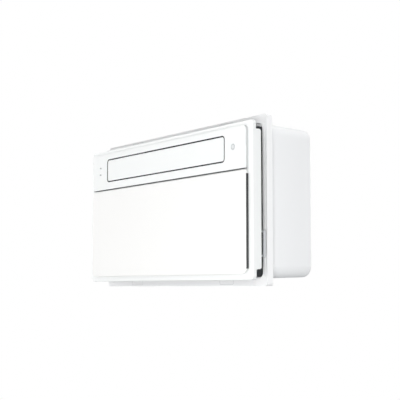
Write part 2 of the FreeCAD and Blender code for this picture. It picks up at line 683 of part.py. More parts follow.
# Front module ---------------------------------------------------------------
def frontBezel():
    body = newBody("front_bezel")
    lip = newSketch(body, "XZ_Plane", -(bezelFront + d.lipThickness))
    rectangle(lip, -bezelHalfWidth, bezelBottom, bezelHalfWidth, bezelTop)
    pad(body, lip, d.lipThickness)
    corners = [(x, z) for x in mirrored(bezelHalfWidth) for z in (bezelBottom, bezelTop)]
    roundEdges(body, d.bezelCorner, lambda box: any(alongY(box, x, z) for x, z in corners))
    roundEdges(body, d.edgeRound * 2, lambda box: onPlane(box, bezelFront))
    hollow = newSketch(body, "XZ_Plane", -(bezelFront + d.lipThickness))
    wall = d.bezelWall
    rectangle(hollow, wall - bezelHalfWidth, bezelBottom + wall, bezelHalfWidth - wall, bezelTop - wall)
    pocket(body, hollow, d.lipThickness - d.bezelWall, reverse=True)
    inner = [(x, z) for x in mirrored(bezelHalfWidth - wall) for z in (bezelBottom + wall, bezelTop - wall)]
    roundEdges(body, d.bezelCorner - wall, lambda box: any(alongY(box, x, z) for x, z in inner))
    # The side walls reach further back than the lip, over the middle of the height.
    skirtY0, skirtY1 = bezelFront + wall, bezelFront + d.skirtDepth
    skirtZ0, skirtZ1 = bezelBottom + d.skirtBottomInset, bezelTop - d.skirtTopInset
    for side in (-1, 1):
        skirt = newSketch(body, "YZ_Plane", side * bezelHalfWidth)
        rectangle(skirt, skirtY0, skirtZ0, skirtY1, skirtZ1)
        pad(body, skirt, wall, reverse=side > 0)
    ends = (skirtZ0, skirtZ1)
    roundEdges(
        body, d.skirtCorner,
        lambda box: near(box.YMin, skirtY1) and near(box.YMax, skirtY1) and near(box.ZMin, box.ZMax)
        and any(near(box.ZMin, z) for z in ends),
    )
    openings = newSketch(body, "XZ_Plane", -bezelFront)
    rectangle(openings, -outletHalfWidth, outletBottom, outletHalfWidth, outletTop)
    rectangle(openings, -intakeHalfWidth, intakeBottom, intakeHalfWidth, intakeTop)
    for x, z in bezelScrewPlaces:
        circle(openings, x, z, d.bezelScrewRadius + d.seatGap)
    pocket(body, openings, d.lipThickness, symmetric=True)


intakeHalfWidth = panelHalfWidth - d.intakeSide
intakeTop = intakePanelTop - d.intakeTop
intakeBottom = intakePanelBottom + d.intakeBottom
bezelScrewRise = d.plenumWall + d.bossSize / 2 + d.bezelScrewInset
bezelScrewPlaces = [
    (x, z) for x in mirrored(plenumHalfWidth - d.plenumWall - d.bossSize / 2)
    for z in (plenumBottom + bezelScrewRise, plenumTop - bezelScrewRise)
]


def bezelScrews():
    screws = []
    for n, (x, z) in enumerate(bezelScrewPlaces):
        shank = rod(f"shank_{n}", "Y", (x, bezelFront, z), d.bezelScrewRadius, d.bezelScrewLength)
        head = rod(f"head_{n}", "Y", (x, bezelFront - 1.8, z), d.bezelScrewHead, 1.8)
        screws.append(joined(f"screw_{n}", [shank, head]))
    keep(group("bezel_screws", screws), "bezel_screws")


def intakeGrille():
    left, right = d.seatGap - intakeHalfWidth, intakeHalfWidth - d.seatGap
    bottom, top = intakeBottom + d.seatGap, intakeTop - d.seatGap
    front, back = bezelFront + 0.4, bezelFront + 0.4 + d.grilleThickness
    frame = d.grilleFrame
    outer = block("intake_outer", (left, front, bottom), (right, back, top))
    inner = block(
        "intake_inner", (left + frame, front - 1, bottom + frame), (right - frame, back + 1, top - frame)
    )
    rows, columns = int(d.grilleRows.value), int(d.grilleColumns.value)
    height, width = top - bottom - 2 * frame, right - left - 2 * frame
    bars = [
        block(
            f"row_{n}",
            (left + 1, front, bottom + frame + height * n / rows - d.grilleBar / 2),
            (right - 1, back, bottom + frame + height * n / rows + d.grilleBar / 2),
        )
        for n in range(1, rows)
    ]
    bars += [
        block(
            f"column_{n}",
            (left + frame + width * n / columns - d.grilleBar / 2, front, bottom + 1),
            (left + frame + width * n / columns + d.grilleBar / 2, back, top - 1),
        )
        for n in range(1, columns)
    ]
    keep(joined("intake_grille", [without("intake_frame", outer, [inner])] + bars), "intake_grille")


def intakePlenum():
    # A dark tube behind the bezel, with a slotted shelf above and below the air filter.
    wall = d.plenumWall
    x, front, back = plenumHalfWidth, plenumFront, webFront
    outer = block("plenum_outer", (-x, front, plenumBottom), (x, back, plenumTop))
    inner = block(
        "plenum_inner", (wall - x, front - 1, plenumBottom + wall), (x - wall, back + 1, plenumTop - wall)
    )
    tube = without("plenum_tube", outer, [inner])
    railFront, railBack = filterFront - 3, filterBack + 3
    rails = [
        block("rail_low", (1 - x, railFront, plenumBottom + 1), (x - 1, railBack, filterBottom + 3)),
        block("rail_high", (1 - x, railFront, filterTop - 3), (x - 1, railBack, filterTop + 5)),
    ]
    bosses, holes = [], []
    for n, (bossX, bossZ) in enumerate(bezelScrewPlaces):
        reach = d.bossSize / 2 + 1
        low = (bossX - reach, front, bossZ - reach)
        bosses.append(block(f"boss_{n}", low, (bossX + reach, front + d.bezelScrewLength, bossZ + reach)))
        holes.append(
            rod(f"boss_hole_{n}", "Y", (bossX, front - 1, bossZ), d.bezelScrewRadius + 0.05, d.bezelScrewLength)
        )
    slot = block(
        "filter_slot",
        (wall - x, filterFront - d.filterGap, filterBottom - d.filterGap),
        (x + 5, filterBack + d.filterGap, filterTop + d.filterGap),
    )
    solid = joined("plenum_solid", [tube] + rails + bosses)
    keep(without("intake_plenum", solid, [slot] + holes), "intake_plenum")


def upperPanel():
    body = newBody("upper_panel")
    outline = newSketch(body, "XZ_Plane", -bezelFront)
    rectangle(outline, -panelHalfWidth, upperPanelBottom, panelHalfWidth, panelTop)
    pad(body, outline, d.panelProud)
    top = [(x, panelTop) for x in mirrored(panelHalfWidth)]
    roundEdges(body, d.upperPanelCorner, lambda box: any(alongY(box, x, z) for x, z in top))
    bottom = [(x, upperPanelBottom) for x in mirrored(panelHalfWidth)]
    roundEdges(body, d.smallCorner, lambda box: any(alongY(box, x, z) for x, z in bottom))
    roundEdges(body, d.edgeRound, lambda box: onPlane(box, panelFront))
    hollow = newSketch(body, "XZ_Plane", -bezelFront)
    side = d.upperPanelSide
    rectangle(
        hollow, side - panelHalfWidth, upperPanelBottom + side, panelHalfWidth - side, panelTop - side
    )
    pocket(body, hollow, d.panelProud - d.upperPanelWall, reverse=True)
    openings = newSketch(body, "XZ_Plane", -bezelFront)
    gap = d.flapGap
    rectangle(openings, -flapHalfWidth - gap, flapBottom - gap, flapHalfWidth + gap, flapTop + gap)
    circle(openings, windowX, windowZ, d.windowRadius + d.seatGap)
    for z in lampPlaces:
        circle(openings, lampX, z, d.lampRadius + d.seatGap)
    pocket(body, openings, d.panelProud * 3, symmetric=True)
    corners = [(x, z) for x in mirrored(flapHalfWidth + gap) for z in (flapBottom - gap, flapTop + gap)]
    roundEdges(body, d.flapCorner + gap, lambda box: any(alongY(box, x, z) for x, z in corners))


windowX = panelHalfWidth - d.windowInset
windowZ = panelTop - d.windowDrop
lampX = d.lampInset - panelHalfWidth
lampPlaces = [windowZ + d.lampSpacing / 2, windowZ - d.lampSpacing / 2]


def statusLight():
    # A thin lens that hangs from the upper edge of the flap's opening.
    left = d.lightStart - flapHalfWidth
    top = flapTop + d.flapGap
    front = panelFront + 0.3
    lens = block("light_lens", (left, front, top - d.lightHeight), (left + d.lightLength, front + 3, top))
    foot = block(
        "light_foot", (left, panelFront + d.upperPanelWall, top - 0.5),
        (left + d.lightLength, front + 3, top + 5)
    )
    keep(joined("status_light", [lens, foot]), "status_light")


def receiverWindow():
    disc = rod("window_disc", "Y", (windowX, panelFront, windowZ), d.windowRadius, d.upperPanelWall + 1)
    flangeY = panelFront + d.upperPanelWall
    brim = rod("window_brim", "Y", (windowX, flangeY, windowZ), d.windowRadius + 1.5, 1)
    keep(joined("receiver_window", [disc, brim]), "receiver_window")


def indicatorLenses():
    lenses = []
    for n, z in enumerate(lampPlaces):
        stem = rod(f"lamp_stem_{n}", "Y", (lampX, panelFront, z), d.lampRadius, d.upperPanelWall + 1)
        brim = rod(f"lamp_brim_{n}", "Y", (lampX, panelFront + d.upperPanelWall, z), d.lampRadius + 1, 1)
        lenses.append(joined(f"lamp_{n}", [stem, brim]))
    keep(group("indicator_lenses", lenses), "indicator_lenses")


def displayBoard():
    y = panelFront + d.upperPanelWall + 1
    low = (lampX - 14, y, windowZ - 20)
    board = block("display_sheet", low, (lampX + 20, y + d.boardThickness, windowZ + 20))
    chip = block(
        "display_chip", (lampX - 8, y + 1, windowZ - 6),
        (lampX + 4, y + d.boardThickness + 1.2, windowZ + 6)
    )
    keep(joined("display_board", [board, chip]), "display_board")


def intakePanel():
    body = newBody("intake_panel")
    back = panelFront + d.intakePanelThickness
    outline = newSketch(body, "XZ_Plane", -back)
    rectangle(outline, -panelHalfWidth, intakePanelBottom, panelHalfWidth, intakePanelTop)
    pad(body, outline, d.intakePanelThickness)
    low = [(x, intakePanelBottom) for x in mirrored(panelHalfWidth)]
    roundEdges(body, d.intakePanelCorner, lambda box: any(alongY(box, x, z) for x, z in low))
    high = [(x, intakePanelTop) for x in mirrored(panelHalfWidth)]
    roundEdges(body, d.smallCorner, lambda box: any(alongY(box, x, z) for x, z in high))
    roundEdges(body, d.edgeRound, lambda box: onPlane(box, panelFront))
    # Knuckles on the panel's back, either side of each fixed hinge bracket.
    notches = newSketch(body, "XZ_Plane", -back)
    reach = d.knuckleLength / 2
    for x in hingePlaces:
        for side in (-1, 1):
            start = x + side * (reach + d.seatGap)
            knuckle = newSketch(body, "YZ_Plane", start)
            rectangle(knuckle, back - 0.5, hingeZ - 1.9, hingeY + 1.7, hingeZ + 1.9)
            pad(body, knuckle, reach * 2, reverse=side < 0)
        notch = reach + d.seatGap
        rectangle(notches, x - notch, hingeZ - 2.6, x + notch, intakePanelTop + 1)
    pocket(body, notches, d.intakePanelThickness - d.notchSkin, reverse=True)
    bores = newSketch(body, "YZ_Plane")
    circle(bores, hingeY, hingeZ, d.hingePinRadius)
    pocket(body, bores, d.hingeSpread * 2 + d.hingePinLength, symmetric=True)


hingePlaces = [-d.hingeSpread, lift(0), d.hingeSpread]


def hingeBrackets():
    brackets = []
    for n, x in enumerate(hingePlaces):
        x0, x1 = x - d.knuckleLength / 2, x + d.knuckleLength / 2
        web = block(
            f"bracket_web_{n}", (x0, hingeY, hingeZ - d.knuckleRadius),
            (x1, bezelFront, hingeZ + d.knuckleRadius)
        )
        eye = rod(f"bracket_eye_{n}", "X", (x0, hingeY, hingeZ), d.knuckleRadius, d.knuckleLength)
        hole = rod(
            f"bracket_hole_{n}", "X", (x0 - 1, hingeY, hingeZ), d.hingePinRadius + d.runningGap,
            d.knuckleLength + 2
        )
        brackets.append(without(f"bracket_{n}", joined(f"bracket_solid_{n}", [web, eye]), [hole]))
    keep(group("panel_hinge_brackets", brackets), "panel_hinge_brackets")


def hingePins():
    pins = [
        rod(
            f"hinge_pin_{n}", "X", (x - d.hingePinLength / 2, hingeY, hingeZ), d.hingePinRadius,
            d.hingePinLength
        )
        for n, x in enumerate(hingePlaces)
    ]
    keep(group("panel_hinge_pins", pins), "panel_hinge_pins")


# Outlet ---------------------------------------------------------------------
def outletFlap():
    body = newBody("outlet_flap")
    back = panelFront + d.flapThickness
    outline = newSketch(body, "XZ_Plane", -back)
    rectangle(outline, -flapHalfWidth, flapBottom, flapHalfWidth, flapTop)
    pad(body, outline, d.flapThickness)
    corners = [(x, z) for x in mirrored(flapHalfWidth) for z in (flapBottom, flapTop)]
    roundEdges(body, d.flapCorner, lambda box: any(alongY(box, x, z) for x, z in corners))
    roundEdges(body, d.edgeRound, lambda box: onPlane(box, panelFront))
    for side in (-1, 1):
        lug = newSketch(body, "YZ_Plane", side * (flapHalfWidth - d.lugWidth))
        rectangle(
            lug, back - 0.5, flapZ - d.lugHeight / 2, flapY + d.lugHeight / 2, flapZ + d.lugHeight / 2
        )
        pad(body, lug, d.lugWidth, reverse=side < 0)
        trunnion = newSketch(body, "YZ_Plane", side * (flapHalfWidth - 1))
        circle(trunnion, flapY, flapZ, d.flapPinRadius)
        reach = d.flapPinReach + (d.lugWidth if side > 0 else 0)
        pad(body, trunnion, reach + 1, reverse=side < 0)
    rib = newSketch(body, "YZ_Plane")
    rectangle(rib, back - 0.5, flapTop - 30, back + d.ribHeight, flapTop - 28)
    pad(body, rib, (flapHalfWidth - d.lugWidth) * 2 - 16, symmetric=True)


def flapMotor():
    start = ductOuter + d.seatGap
    shell = rod(
        "flap_motor_shell", "X", (start, flapY + d.flapMotorOffset, flapZ), d.flapMotorRadius,
        d.flapMotorLength
    )
    hole = rod("flap_motor_hole", "X", (start - 1, flapY, flapZ), d.flapPinRadius + d.runningGap, 9)
    keep(without("flap_motor", shell, [hole]), "flap_motor")


def ductEnd(label, side):
    body = newBody(label)
    profile = newSketch(body, "YZ_Plane", side * ductInner)
    front, back = panelFront + d.upperPanelWall + d.seatGap, housingBackInner - d.seatGap
    neck = bezelFloorBack + 0.5
    polygon(profile, [
        (front, flapZ - 8), (neck, outletBottom + 2), (ductMouth, outletBottom + 0.5), (
            vaneY + 10, ductBottom
        ),
        (back, ductBottom), (back, ductTop), (neck, ductTop), (front, flapTop - 2),
    ])
    circle(profile, flapY, flapZ, d.flapPinRadius + d.runningGap)
    circle(profile, 0, rotorZ, d.bearingRadius if side < 0 else d.rotorShaftRadius + 2)
    pad(body, profile, d.ductEnd, reverse=side < 0)


def blowerScroll():
    # Three quarters of a tube around the rotor's back, then a flat roof out to the mouth.
    half = ductInner - d.seatGap
    arc = doc.addObject("Part::Cylinder", "scroll_arc")
    arc.Placement = Placement(Vector(), turns["X"] * Rotation(Vector(0, 0, 1), -50))
    arc.setExpression("Radius", scrollOuter.text)
    arc.setExpression("Height", (half * 2).text)
    arc.Angle = 140
    place(arc, -half, 0, rotorZ)
    core = rod("scroll_core", "X", (-half - 1, 0, rotorZ), scrollInner, half * 2 + 2)
    roof = block("scroll_roof", (-half, ductMouth, roofBottom), (half, 0.5, roofTop))
    lip = block("scroll_lip", (-half, ductMouth - 2, roofBottom), (half, ductMouth + 0.5, ductTop))
    # A rib along the scroll's back rests against the indoor housing.
    wallSide = housingBackInner - d.seatGap
    rib = block("scroll_rib", (-half, scrollInner + 0.5, rotorZ - 2), (half, wallSide, rotorZ + 2))
    vaneHoles = [
        rod(f"roof_hole_{n}", "Z", (x, vaneY, roofBottom - 1), d.vanePinRadius + d.runningGap, 5)
        for n, x in enumerate(vanePlaces)
    ]
    shell = without("scroll_shell", arc, [core])
    keep(
        without("blower_scroll", joined("scroll_solid", [shell, roof, lip, rib]), vaneHoles),
        "blower_scroll"
    )


vanePlaces = [d.vanePitch * (n - 2.5) for n in range(6)]


def outletFloor():
    half = ductInner - d.seatGap
    sill = block("floor_sheet", (-half, ductMouth, floorBottom), (half, linkY + 4.5, floorTop))
    lip = block("floor_lip", (-half, ductMouth - 2, floorBottom - 4), (half, ductMouth + 0.5, floorTop))
    nose = block("floor_nose", (-half, linkY + 2.5, floorBottom - 14), (half, linkY + 4.5, floorTop))
    holes = [
        rod(f"floor_hole_{n}", "Z", (x, vaneY, floorBottom - 1), d.vanePinRadius + d.runningGap, 6)
        for n, x in enumerate(vanePlaces)
    ]
    keep(without("outlet_floor", joined("floor_solid", [sill, lip, nose]), holes), "outlet_floor")


def swingVane(number, x):
    name = f"vane_{number}"
    half = d.vaneThickness / 2
    blade = block(
        name + "_blade", (x - half, vaneY - d.vaneDepth / 2, vaneBottom),
        (x + half, vaneY + d.vaneDepth / 2, vaneTop)
    )
    below = 9 if number == 6 else 5
    lower = rod(
        name + "_lower", "Z", (x, vaneY, floorTop - below), d.vanePinRadius,
        vaneBottom - floorTop + below + 1
    )
    upper = rod(name + "_upper", "Z", (x, vaneY, vaneTop - 1), d.vanePinRadius, roofTop - vaneTop + 1.5)
    link = rod(
        name + "_link", "Z", (x, linkY, linkBottom + 0.3), d.linkPinRadius, vaneBottom - linkBottom + 0.7
    )
    keep(joined(name, [blade, lower, upper, link]), name)


def linkBar():
    # Slots a little longer front to back, because each vane's link pin swings on an arc.
    start, end = vanePlaces[0] - 12, vanePlaces[-1] + 12
    bar = block(
        "link_blank", (start, linkY - d.linkWidth / 2 - 0.5, linkBottom),
        (end, linkY + d.linkWidth / 2 - 0.5, linkTop)
    )
    side = d.linkPinRadius + 0.15
    slots = [
        block(
            f"link_slot_{n}", (x - side, linkY - side - 1, linkBottom - 1),
            (x + side, linkY + side, linkTop + 1)
        )
        for n, x in enumerate(vanePlaces)
    ]
    keep(without("vane_link_bar", bar, slots), "vane_link_bar")


def swingMotor():
    x = vanePlaces[-1]
    top = floorBottom - d.seatGap
    shell = rod(
        "swing_shell", "Z", (x, vaneY, top - d.swingMotorHeight), d.swingMotorRadius, d.swingMotorHeight
    )
    hole = rod("swing_hole", "Z", (x, vaneY, top - 8), d.vanePinRadius + d.runningGap, 9)
    keep(without("swing_motor", shell, [hole]), "swing_motor")


# Blower ---------------------------------------------------------------------
rotorHalf = ductInner - d.rotorEndGap


def crossflowRotor():
    # Discs along the shaft line, joined by thin curved blades near their rims.
    half, radius = rotorHalf.value, d.rotorRadius.value
    blades, disc = int(d.rotorBlades.value), d.rotorDisc.value
    bladeCentre, bladeInner, bladeWall = radius - 5.2, 6.4, 1.0
    outer = Part.makeCylinder(bladeInner, half * 2 - 1, Vector(0.5 - half, 0, 0), Vector(1, 0, 0), 360)
    inner = Part.makeCylinder(
        bladeInner - bladeWall, half * 2 + 2, Vector(-half - 1, 0, 0), Vector(1, 0, 0), 360
    )
    curl = outer.cut(inner).common(
        Part.makeBox(half * 2, bladeInner * 2, bladeInner, Vector(-half, -bladeInner, 0.6))
    )
    curl.translate(Vector(0, bladeCentre - 1.2, -3.4))
    ring = []
    for n in range(blades):
        blade = curl.copy()
        blade.rotate(Vector(), Vector(1, 0, 0), 360.0 / blades * n)
        ring.append(blade)
    places = [-half + (half * 2 - disc) * n / 6 for n in range(7)]
    discs = []
    for n, x in enumerate(places):
        plate = Part.makeCylinder(radius, disc, Vector(x, 0, 0), Vector(1, 0, 0))
        bore = d.rotorShaftRadius.value if n in (0, 6) else radius - 11.5
        discs.append(plate.cut(Part.makeCylinder(bore, disc + 2, Vector(x - 1, 0, 0), Vector(1, 0, 0))))
    solid = discs[0].multiFuse(discs[1:] + ring)
    feature = doc.addObject("Part::Feature", "crossflow_rotor")
    feature.Shape = solid
    feature.Placement = Placement(Vector(0, 0, rotorZ.value), Rotation())
    keep(feature, "crossflow_rotor")


def rotorShafts():
    motorEnd = ductOuter + 18
    left = rod(
        "shaft_left", "X", (-(ductOuter + 3), 0, rotorZ), d.rotorShaftRadius,
        d.rotorEndGap + d.ductEnd + 3 + d.rotorDisc
    )
    right = rod(
        "shaft_right", "X", (rotorHalf - d.rotorDisc, 0, rotorZ), d.rotorShaftRadius,
        motorEnd - rotorHalf + d.rotorDisc
    )
    keep(group("rotor_shafts", [left, right]), "rotor_shafts")


def rotorBearing():
    # A rubber-seated sleeve bearing in the left end plate.
    start = -ductOuter - 1.5
    sleeve = rod("bearing_sleeve", "X", (start, 0, rotorZ), d.bearingRadius - 0.02, d.ductEnd + 1.5)
    collar = rod("bearing_collar", "X", (start - 1.5, 0, rotorZ), d.bearingRadius + 3, 2.7)
    hole = rod("bearing_hole", "X", (start - 3, 0, rotorZ), d.rotorShaftRadius + d.runningGap, 12)
    keep(without("rotor_bearing", joined("bearing_solid", [sleeve, collar]), [hole]), "rotor_bearing")


def blowerMotor():
    start = ductOuter + d.seatGap
    shell = rod("blower_shell", "X", (start, 0, rotorZ), d.blowerMotorRadius, d.blowerMotorLength)
    hole = rod("blower_hole", "X", (start - 1, 0, rotorZ), d.rotorShaftRadius + d.runningGap, 20)
    boss = rod("blower_boss", "X", (start + d.blowerMotorLength - 1, 0, rotorZ), d.blowerMotorRadius / 2, 5)
    keep(without("blower_motor", joined("blower_solid", [shell, boss]), [hole]), "blower_motor")


# Filter ---------------------------------------------------------------------
def filterCells():
    left, right = filterLeft + d.filterBar, plenumHalfWidth - d.filterBar
    columns, rows = 5, 2
    width = (right - left - d.filterBar * (columns - 1)) / columns
    height = (d.filterHeight - d.filterBar * (rows + 1)) / rows
    for column in range(columns):
        for row in range(rows):
            x = left + (width + d.filterBar) * column
            z = filterBottom + d.filterBar + (height + d.filterBar) * row
            yield x, z, x + width, z + height


filterLeft = -plenumHalfWidth + d.plenumWall + d.filterGap


def airFilter():
    body = newBody("air_filter_frame")
    frame = newSketch(body, "XZ_Plane", -filterBack)
    rectangle(frame, filterLeft, filterBottom, plenumHalfWidth, filterTop)
    for left, bottom, right, top in filterCells():
        rectangle(frame, left, bottom, right, top)
    pad(body, frame, d.filterThickness)
    # The pull tab is an open loop, so that a fingertip goes in behind its bar.
    tab = newSketch(body, "XZ_Plane", -(filterBack - 0.5))
    tabX, tabZ = plenumHalfWidth + d.tabReach, plenumBottom + d.tabBottom
    rectangle(tab, plenumHalfWidth - 2, tabZ, tabX, tabZ + d.tabLength)
    rectangle(tab, plenumHalfWidth, tabZ + 4, tabX - d.tabWidth, tabZ + d.tabLength - 4)
    pad(body, tab, d.filterThickness - 1)
    meshes = [
        block(f"mesh_{n}", (left, filterBack - 3, bottom), (right, filterBack - 3 + d.meshThickness, top))
        for n, (left, bottom, right, top) in enumerate(filterCells())
    ]
    keep(group("filter_mesh", meshes), "filter_mesh")


# Heat exchangers ------------------------------------------------------------
def serpentine(label, left, right, y, bottom, pitch, rows, reach):
    # One tube that runs to and fro through the fins; both ends are at the right.
    radius = pitch / 2
    edges = []
    for row in range(rows):
        z = bottom + pitch * row
        free = row in (0, rows - 1)
        start, end = left, right + (reach if free else 0)
        edges.append(Part.LineSegment(Vector(start, y, z), Vector(end, y, z)).toShape())
        if row < rows - 1:
            side, edge = (-1, left) if row % 2 == 0 else (1, right)
            turn = Part.Arc(
                Vector(edge, y, z), Vector(edge + side * radius, y, z + radius), Vector(edge, y, z + pitch)
            )
            edges.append(turn.toShape())
    path = Part.Wire(Part.__sortEdges__(edges))
    tube = d.coilTubeRadius.value
    profile = Part.Wire(Part.makeCircle(tube, Vector(right + reach, y, bottom), Vector(1, 0, 0)))
    feature = doc.addObject("Part::Feature", label)
    feature.Shape = path.makePipeShell([profile], True, False)
    return keep(feature, label)


def finPack(label, low, high, y, bottom, pitch, rows):
    # The fins as one block with a clear hole for each tube row.
    fins = block(label + "_block", low, high)
    length = lift(high[0]) - low[0]
    holes = [
        rod(
            f"{label}_hole_{n}", "X", (lift(low[0]) - 1, y, bottom + pitch * n), d.coilTubeRadius + 0.1,
            length + 2
        )
        for n in range(rows)
    ]
    return keep(without(label, fins, holes), label)


evaporatorBottom = housingBottom + d.housingWall + d.panHeight + 0.6
evaporatorX = housingHalfWidth - d.evaporatorEndRoom
evaporatorY = d.evaporatorDepth / 2 - d.evaporatorFront
evaporatorPitch = d.evaporatorHeight / d.evaporatorRows
condenserY = caseRearInner - d.condenserRearGap + 3 - d.condenserDepth / 2


def evaporator():
    rows = int(d.evaporatorRows.value)
    first = evaporatorBottom + evaporatorPitch / 2
    finPack(
        "evaporator_fins",
        (-evaporatorX, -d.evaporatorFront, evaporatorBottom),
        (evaporatorX, d.evaporatorDepth - d.evaporatorFront, evaporatorBottom + d.evaporatorHeight),
        evaporatorY, first, evaporatorPitch, rows,
    )
    span = evaporatorX + 3
    serpentine(
        "evaporator_tube", -span.value, span.value, evaporatorY.value, first.value,
        evaporatorPitch.value, rows, evaporatorReach.value,
    )


evaporatorReach = lift(4)


def drainPan():
    low, high = housingBottom + d.housingWall + d.seatGap, housingBottom + d.housingWall + d.seatGap + d.panHeight
    x, front, back = housingHalfWidth - 7, -d.evaporatorFront - 3, d.evaporatorDepth - d.evaporatorFront + 8
    outer = block("pan_outer", (-x, front, low), (x, back, high - 0.3))
    wall = d.panWall
    inner = block("pan_inner", (wall - x, front + wall, low + wall), (x - wall, back - wall, high + 1))
    # Two ribs in the pan carry the fins clear of the water.
    ribs = [
        block(
            f"pan_rib_{n}", (side * evaporatorX * 0.6 - 3, front + 1, low + 1),
            (side * evaporatorX * 0.6 + 3, back - 1, high)
        )
        for n, side in enumerate((-1, 1))
    ]
    keep(joined("drain_pan", [without("pan_tray", outer, [inner])] + ribs), "drain_pan")


def indoorHousing():
    body = newBody("indoor_housing")
    outline = newSketch(body, "XZ_Plane", -d.housingDepth)
    rectangle(outline, -housingHalfWidth, housingBottom, housingHalfWidth, housingTop)
    pad(body, outline, d.housingDepth - housingFront)
    hollow = newSketch(body, "XZ_Plane", -housingFront)
    wall = d.housingWall
    rectangle(
        hollow, wall - housingHalfWidth, housingBottom + wall, housingHalfWidth - wall, housingTop - wall
    )
    pocket(body, hollow, d.housingDepth - housingFront - wall)
    holes = newSketch(body, "XZ_Plane", -d.housingDepth)
    circle(holes, accumulatorX, suctionZ, d.pipeRadius + d.pipeHoleGap)
    circle(holes, liquidX, liquidZ, d.liquidPipeRadius + d.pipeHoleGap)
    pocket(body, holes, wall * 3, symmetric=True)


suctionZ = evaporatorBottom + d.evaporatorHeight - evaporatorPitch / 2
liquidZ = evaporatorBottom + evaporatorPitch / 2
liquidX = accumulatorX - 2


def insulationSheet():
    x, top = housingHalfWidth - 2, housingTop - 2
    low, high = d.housingDepth, d.housingDepth + d.insulationThickness
    sheetBlock = block("foam_block", (-x, low, -top), (x, high, top))
    holes = [
        rod(
            "foam_hole_0", "Y", (accumulatorX, low - 1, suctionZ), d.pipeRadius + d.pipeHoleGap,
            d.insulationThickness + 2
        ),
        rod(
            "foam_hole_1", "Y", (liquidX, low - 1, liquidZ), d.liquidPipeRadius + d.pipeHoleGap,
            d.insulationThickness + 2
        ),
    ]
    keep(without("insulation_sheet", sheetBlock, holes), "insulation_sheet")


def condenser():
    rows = int(d.condenserRows.value)
    height = condenserTop - condenserBottom
    pitch = height / rows
    first = condenserBottom + pitch / 2
    y0, y1 = condenserY - d.condenserDepth / 2, condenserY + d.condenserDepth / 2
    finPack(
        "condenser_fins", (condenserLeft + 2, y0, condenserBottom), (condenserRight - 2, y1, condenserTop),
        condenserY, first, pitch, rows,
    )
    left, right = condenserLeft - 1, condenserRight + 1
    serpentine(
        "condenser_tube", left.value, right.value, condenserY.value, first.value, pitch.value, rows, 4
    )


# Outdoor side ---------------------------------------------------------------
fanBack = caseRearInner - 15
fanFront = fanBack - d.fanDepth


def axialFan():
    body = newBody("axial_fan")
    hub = newSketch(body, "XZ_Plane", -fanBack)
    circle(hub, 0, 0, d.fanHubRadius)
    pad(body, hub, d.fanDepth * 0.8)
    roundEdges(body, d.edgeRound * 4, lambda box: onPlane(box, fanBack) and box.XLength > 10)
    bore = newSketch(body, "XZ_Plane", -fanBack)
    circle(bore, 0, 0, d.fanShaftRadius)
    pocket(body, bore, d.fanDepth * 4, symmetric=True)
    blade = newSketch(body, "YZ_Plane", d.fanHubRadius - 3)
    middle = (fanFront + fanBack) / 2
    rise, sweep, wall = d.fanDepth / 2 - 1, 17, 1.2
    polygon(blade, [
        (middle - rise, -sweep), (middle - rise + wall, -sweep - wall),
        (middle + rise * 0.25 + wall, 1 - wall), (middle + rise, sweep - wall),
        (middle + rise - wall, sweep), (middle + rise * 0.25 - wall, 1 + wall),
    ])
    feature = pad(body, blade, d.fanRadius - d.fanHubRadius + 2)
    pattern = body.newObject("PartDesign::PolarPattern", "axial_fan_blades")
    pattern.Originals = [feature]
    axis = next(item for item in body.Origin.OriginFeatures if item.Role == "Y_Axis")
    pattern.Axis = (axis, [""])
    pattern.Angle = 360
    pattern.setExpression("Occurrences", d.fanBlades.text)
    body.Tip = pattern
    place(body, d.fanCentre, 0, fanZ)
    shaftStart = outdoorFront + 14
    keep(
        rod("fan_shaft", "Y", (d.fanCentre, shaftStart, fanZ), d.fanShaftRadius, fanBack - shaftStart),
        "fan_shaft"
    )


def outdoorFanMotor():
    front = outdoorFront + d.bracketWall + d.seatGap
    shell = rod("fan_motor_shell", "Y", (d.fanCentre, front, fanZ), d.fanMotorRadius, d.fanMotorLength)
    hole = rod("fan_motor_hole", "Y", (d.fanCentre, front + 8, fanZ), d.fanShaftRadius + d.runningGap, 30)
    keep(without("outdoor_fan_motor", shell, [hole]), "outdoor_fan_motor")
    # Its plate stands on the insulation, and its two arms hold the shroud's ring.
    armZ, half = guardRadius + d.shroudWall / 2, d.shroudWall
    left, right = d.fanCentre - d.fanMotorRadius * 0.6, d.fanCentre + d.fanMotorRadius * 0.6
    plate = block(
        "motor_plate", (left, outdoorFront, -armZ - half), (
            right, outdoorFront + d.bracketWall, armZ + half
        )
    )
    arms = [
        block(
            f"motor_arm_{n}",
            (left, outdoorFront, side * armZ - half),
            (right, shroudStart - d.seatGap, side * armZ + half),
        )
        for n, side in enumerate((-1, 1))
    ]
    keep(joined("motor_bracket", [plate] + arms), "motor_bracket")


shroudFront = fanBack + 2
shroudStart = fanFront + 4
shroudBack = caseRearInner - 1


def fanShroud():
    x0, x1 = d.fanCentre - d.shroudSquare, d.fanCentre + d.shroudSquare
    plate = block(
        "shroud_plate", (x0, shroudFront, -d.shroudSquare), (x1, shroudFront + d.shroudWall, d.shroudSquare)
    )
    tube = rod(
        "shroud_tube", "Y", (d.fanCentre, shroudStart, fanZ), guardRadius + d.shroudWall,
        shroudBack - shroudStart
    )
    hole = rod("shroud_hole", "Y", (d.fanCentre, fanFront, fanZ), guardRadius, 60)
    keep(without("fan_shroud", joined("shroud_solid", [plate, tube]), [hole]), "fan_shroud")


